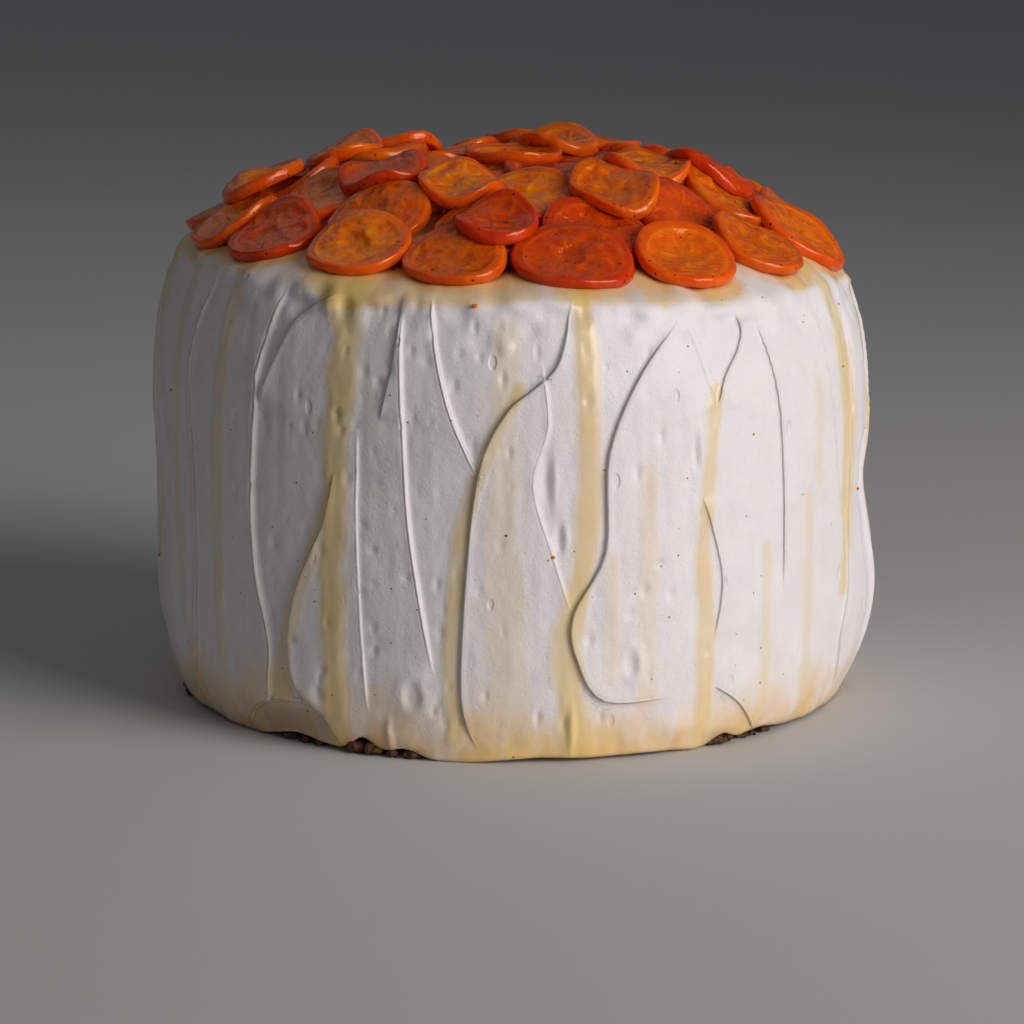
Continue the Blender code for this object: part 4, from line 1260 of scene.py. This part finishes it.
class CAKE_OT_syrup(bpy.types.Operator):
    """Build the syrup that fills the gaps between the slices"""

    bl_idname = "cake.syrup"
    bl_label = "Syrup"

    def execute(self, context):
        chosen = context.scene.cake_syrup
        fruit = TOPPING["height"]
        level = fruit
        for _ in range(FILM_SPREADS):
            level = np.maximum(fruit, spread_once(level))
        shown = smooth((level - fruit) / 0.4) * smooth((NEAR_SLICES - 0.35) / 0.3)
        level = np.minimum(level, lowest_near(fruit, FILM_LOW_REACH) + FILM_DEPTH) - FILM_HIDDEN * (1 - shown)
        rows = FILM_ROWS + FILM_UNDER_ROWS + 1
        mesh, row, column = spun_mesh("syrup_film", rows, FILM_COLUMNS)
        angle = column / FILM_COLUMNS * 360 - 180
        under = row <= FILM_UNDER_ROWS
        share = np.where(under, row / FILM_UNDER_ROWS, 1 - (row - FILM_UNDER_ROWS) / FILM_ROWS)
        places = on_circle(share * FILM_REACH, angle, 0)
        across, back = places[:, 0] / MM, places[:, 1] / MM
        top = field_value(level, across, back)
        bottom = field_value(BARE_TOP, across, back) - 3 * FILM_HIDDEN
        edge = smooth((1 - share) / 0.02)
        places[:, 2] = np.where(under, bottom, bottom + (np.maximum(top, bottom + 0.1) - bottom) * edge) * MM
        places[:, 2] = np.minimum(places[:, 2], CAD_BOX[1].z - BOX_MARGIN * MM)
        set_places(mesh, places)
        made_piece("syrup_film", mesh, self.material(chosen), "kumquat amber")
        return {"FINISHED"}

    @staticmethod
    def material(chosen):
        """Clear sticky syrup over fruit and cream."""
        recipe = Recipe("candying syrup")
        cloudy = recipe.ramp(recipe.noise(110, 3), 0.3, 0.7)
        # Thick and thin syrup at random, both darkened: partly the syrup's own colour, partly painted shade
        # in the gaps between the slices.
        colour = recipe.mix(cloudy, opaque(chosen.deep), opaque(chosen.bright))
        recipe.set(Base_Color=colour, Roughness=0.1, Subsurface_Weight=0.8, Subsurface_Scale=0.003,
                   Subsurface_Radius=(1.0, 0.3, 0.08), Specular_IOR_Level=0.4, Coat_Weight=0.3,
                   Coat_Roughness=0.04)
        recipe.bump(recipe.noise(260, 2), 0.0003)
        return recipe.material


class CAKE_OT_stage(bpy.types.Operator):
    """Set out the pale floor, the soft light and the camera"""

    bl_idname = "cake.stage"
    bl_label = "Stage"

    def execute(self, context):
        chosen = context.scene.cake_stage
        self.floor(chosen)
        self.area_light("key_light", KEY_PLACE, KEY_SIZE, chosen.key_power, (1.0, 0.965, 0.955))
        self.area_light("fill_light", FILL_PLACE, FILL_SIZE, chosen.fill_power, (0.90, 0.94, 1.0))
        self.area_light("back_light", BACK_PLACE, BACK_SIZE, chosen.back_power, (1.0, 0.97, 0.95))
        world = bpy.data.worlds.new("studio")
        world.use_nodes = True
        background = world.node_tree.nodes["Background"]
        background.inputs["Color"].default_value = (0.90, 0.93, 1.0, 1)
        background.inputs["Strength"].default_value = chosen.sky
        context.scene.world = world
        context.scene.view_settings.view_transform = "Standard"
        camera = bpy.data.objects.new("camera", bpy.data.cameras.new("camera"))
        camera.data.lens = CAMERA_LENS
        camera.data.sensor_width = CAMERA_SENSOR
        camera.data.clip_end = 50.0
        camera.location = CAMERA_PLACE
        camera.rotation_euler = (math.radians(90 - CAMERA_PITCH), 0, 0)
        context.scene.collection.objects.link(camera)
        context.scene.camera = camera
        return {"FINISHED"}

    @staticmethod
    def floor(chosen):
        """A wide pale floor."""
        shape = bmesh.new()
        bmesh.ops.create_grid(shape, x_segments=4, y_segments=4, size=FLOOR_HALF)
        mesh = bpy.data.meshes.new("floor")
        shape.to_mesh(mesh)
        shape.free()
        recipe = Recipe("pale floor")
        recipe.set(Base_Color=opaque(chosen.floor), Roughness=0.9, Specular_IOR_Level=0.2)
        mesh.materials.append(recipe.material)
        floor = bpy.data.objects.new("floor", mesh)
        bpy.context.scene.collection.objects.link(floor)

    @staticmethod
    def area_light(name, place, size, power, colour):
        """A square light that faces the cake's middle."""
        light = bpy.data.lights.new(name, "AREA")
        light.size = size
        light.energy = power
        light.color = colour
        light.spread = math.radians(LIGHT_SPREAD)
        lamp = bpy.data.objects.new(name, light)
        lamp.location = place
        lamp.rotation_euler = (Vector(LIGHTS_AIM) - Vector(place)).to_track_quat("-Z", "Y").to_euler()
        bpy.context.scene.collection.objects.link(lamp)


OPERATORS = (CAKE_OT_frosting, CAKE_OT_sponge, CAKE_OT_crumbs, CAKE_OT_slices, CAKE_OT_syrup, CAKE_OT_stage)
SETTINGS = {"cake_frosting": FrostingSettings, "cake_sponge": SpongeSettings, "cake_fruit": FruitSettings,
            "cake_syrup": SyrupSettings, "cake_stage": StageSettings}


class CAKE_PT_panel(bpy.types.Panel):
    """Lists the pieces of the cake"""

    bl_idname = "CAKE_PT_panel"
    bl_label = "Parsnip Cake"
    bl_space_type = "VIEW_3D"
    bl_region_type = "UI"
    bl_category = "Cake"

    def draw(self, context):
        for operator in OPERATORS:
            self.layout.operator(operator.bl_idname)
        for name, group in SETTINGS.items():
            box = self.layout.box()
            for setting in group.__annotations__:
                box.prop(getattr(context.scene, name), setting)


CLASSES = (*SETTINGS.values(), *OPERATORS, CAKE_PT_panel)


def register():
    """Registers the classes and their settings."""
    for cls in CLASSES:
        bpy.utils.register_class(cls)
    for name, group in SETTINGS.items():
        setattr(bpy.types.Scene, name, PointerProperty(type=group))


def unregister():
    """Takes the settings and the classes away again."""
    for name in SETTINGS:
        delattr(bpy.types.Scene, name)
    for cls in reversed(CLASSES):
        bpy.utils.unregister_class(cls)


def main():
    register()
    bpy.ops.cake.frosting()
    bpy.ops.cake.sponge()
    bpy.ops.cake.crumbs()
    bpy.ops.cake.slices()
    bpy.ops.cake.syrup()
    bpy.ops.cake.stage()


if __name__ == "__main__":
    main()
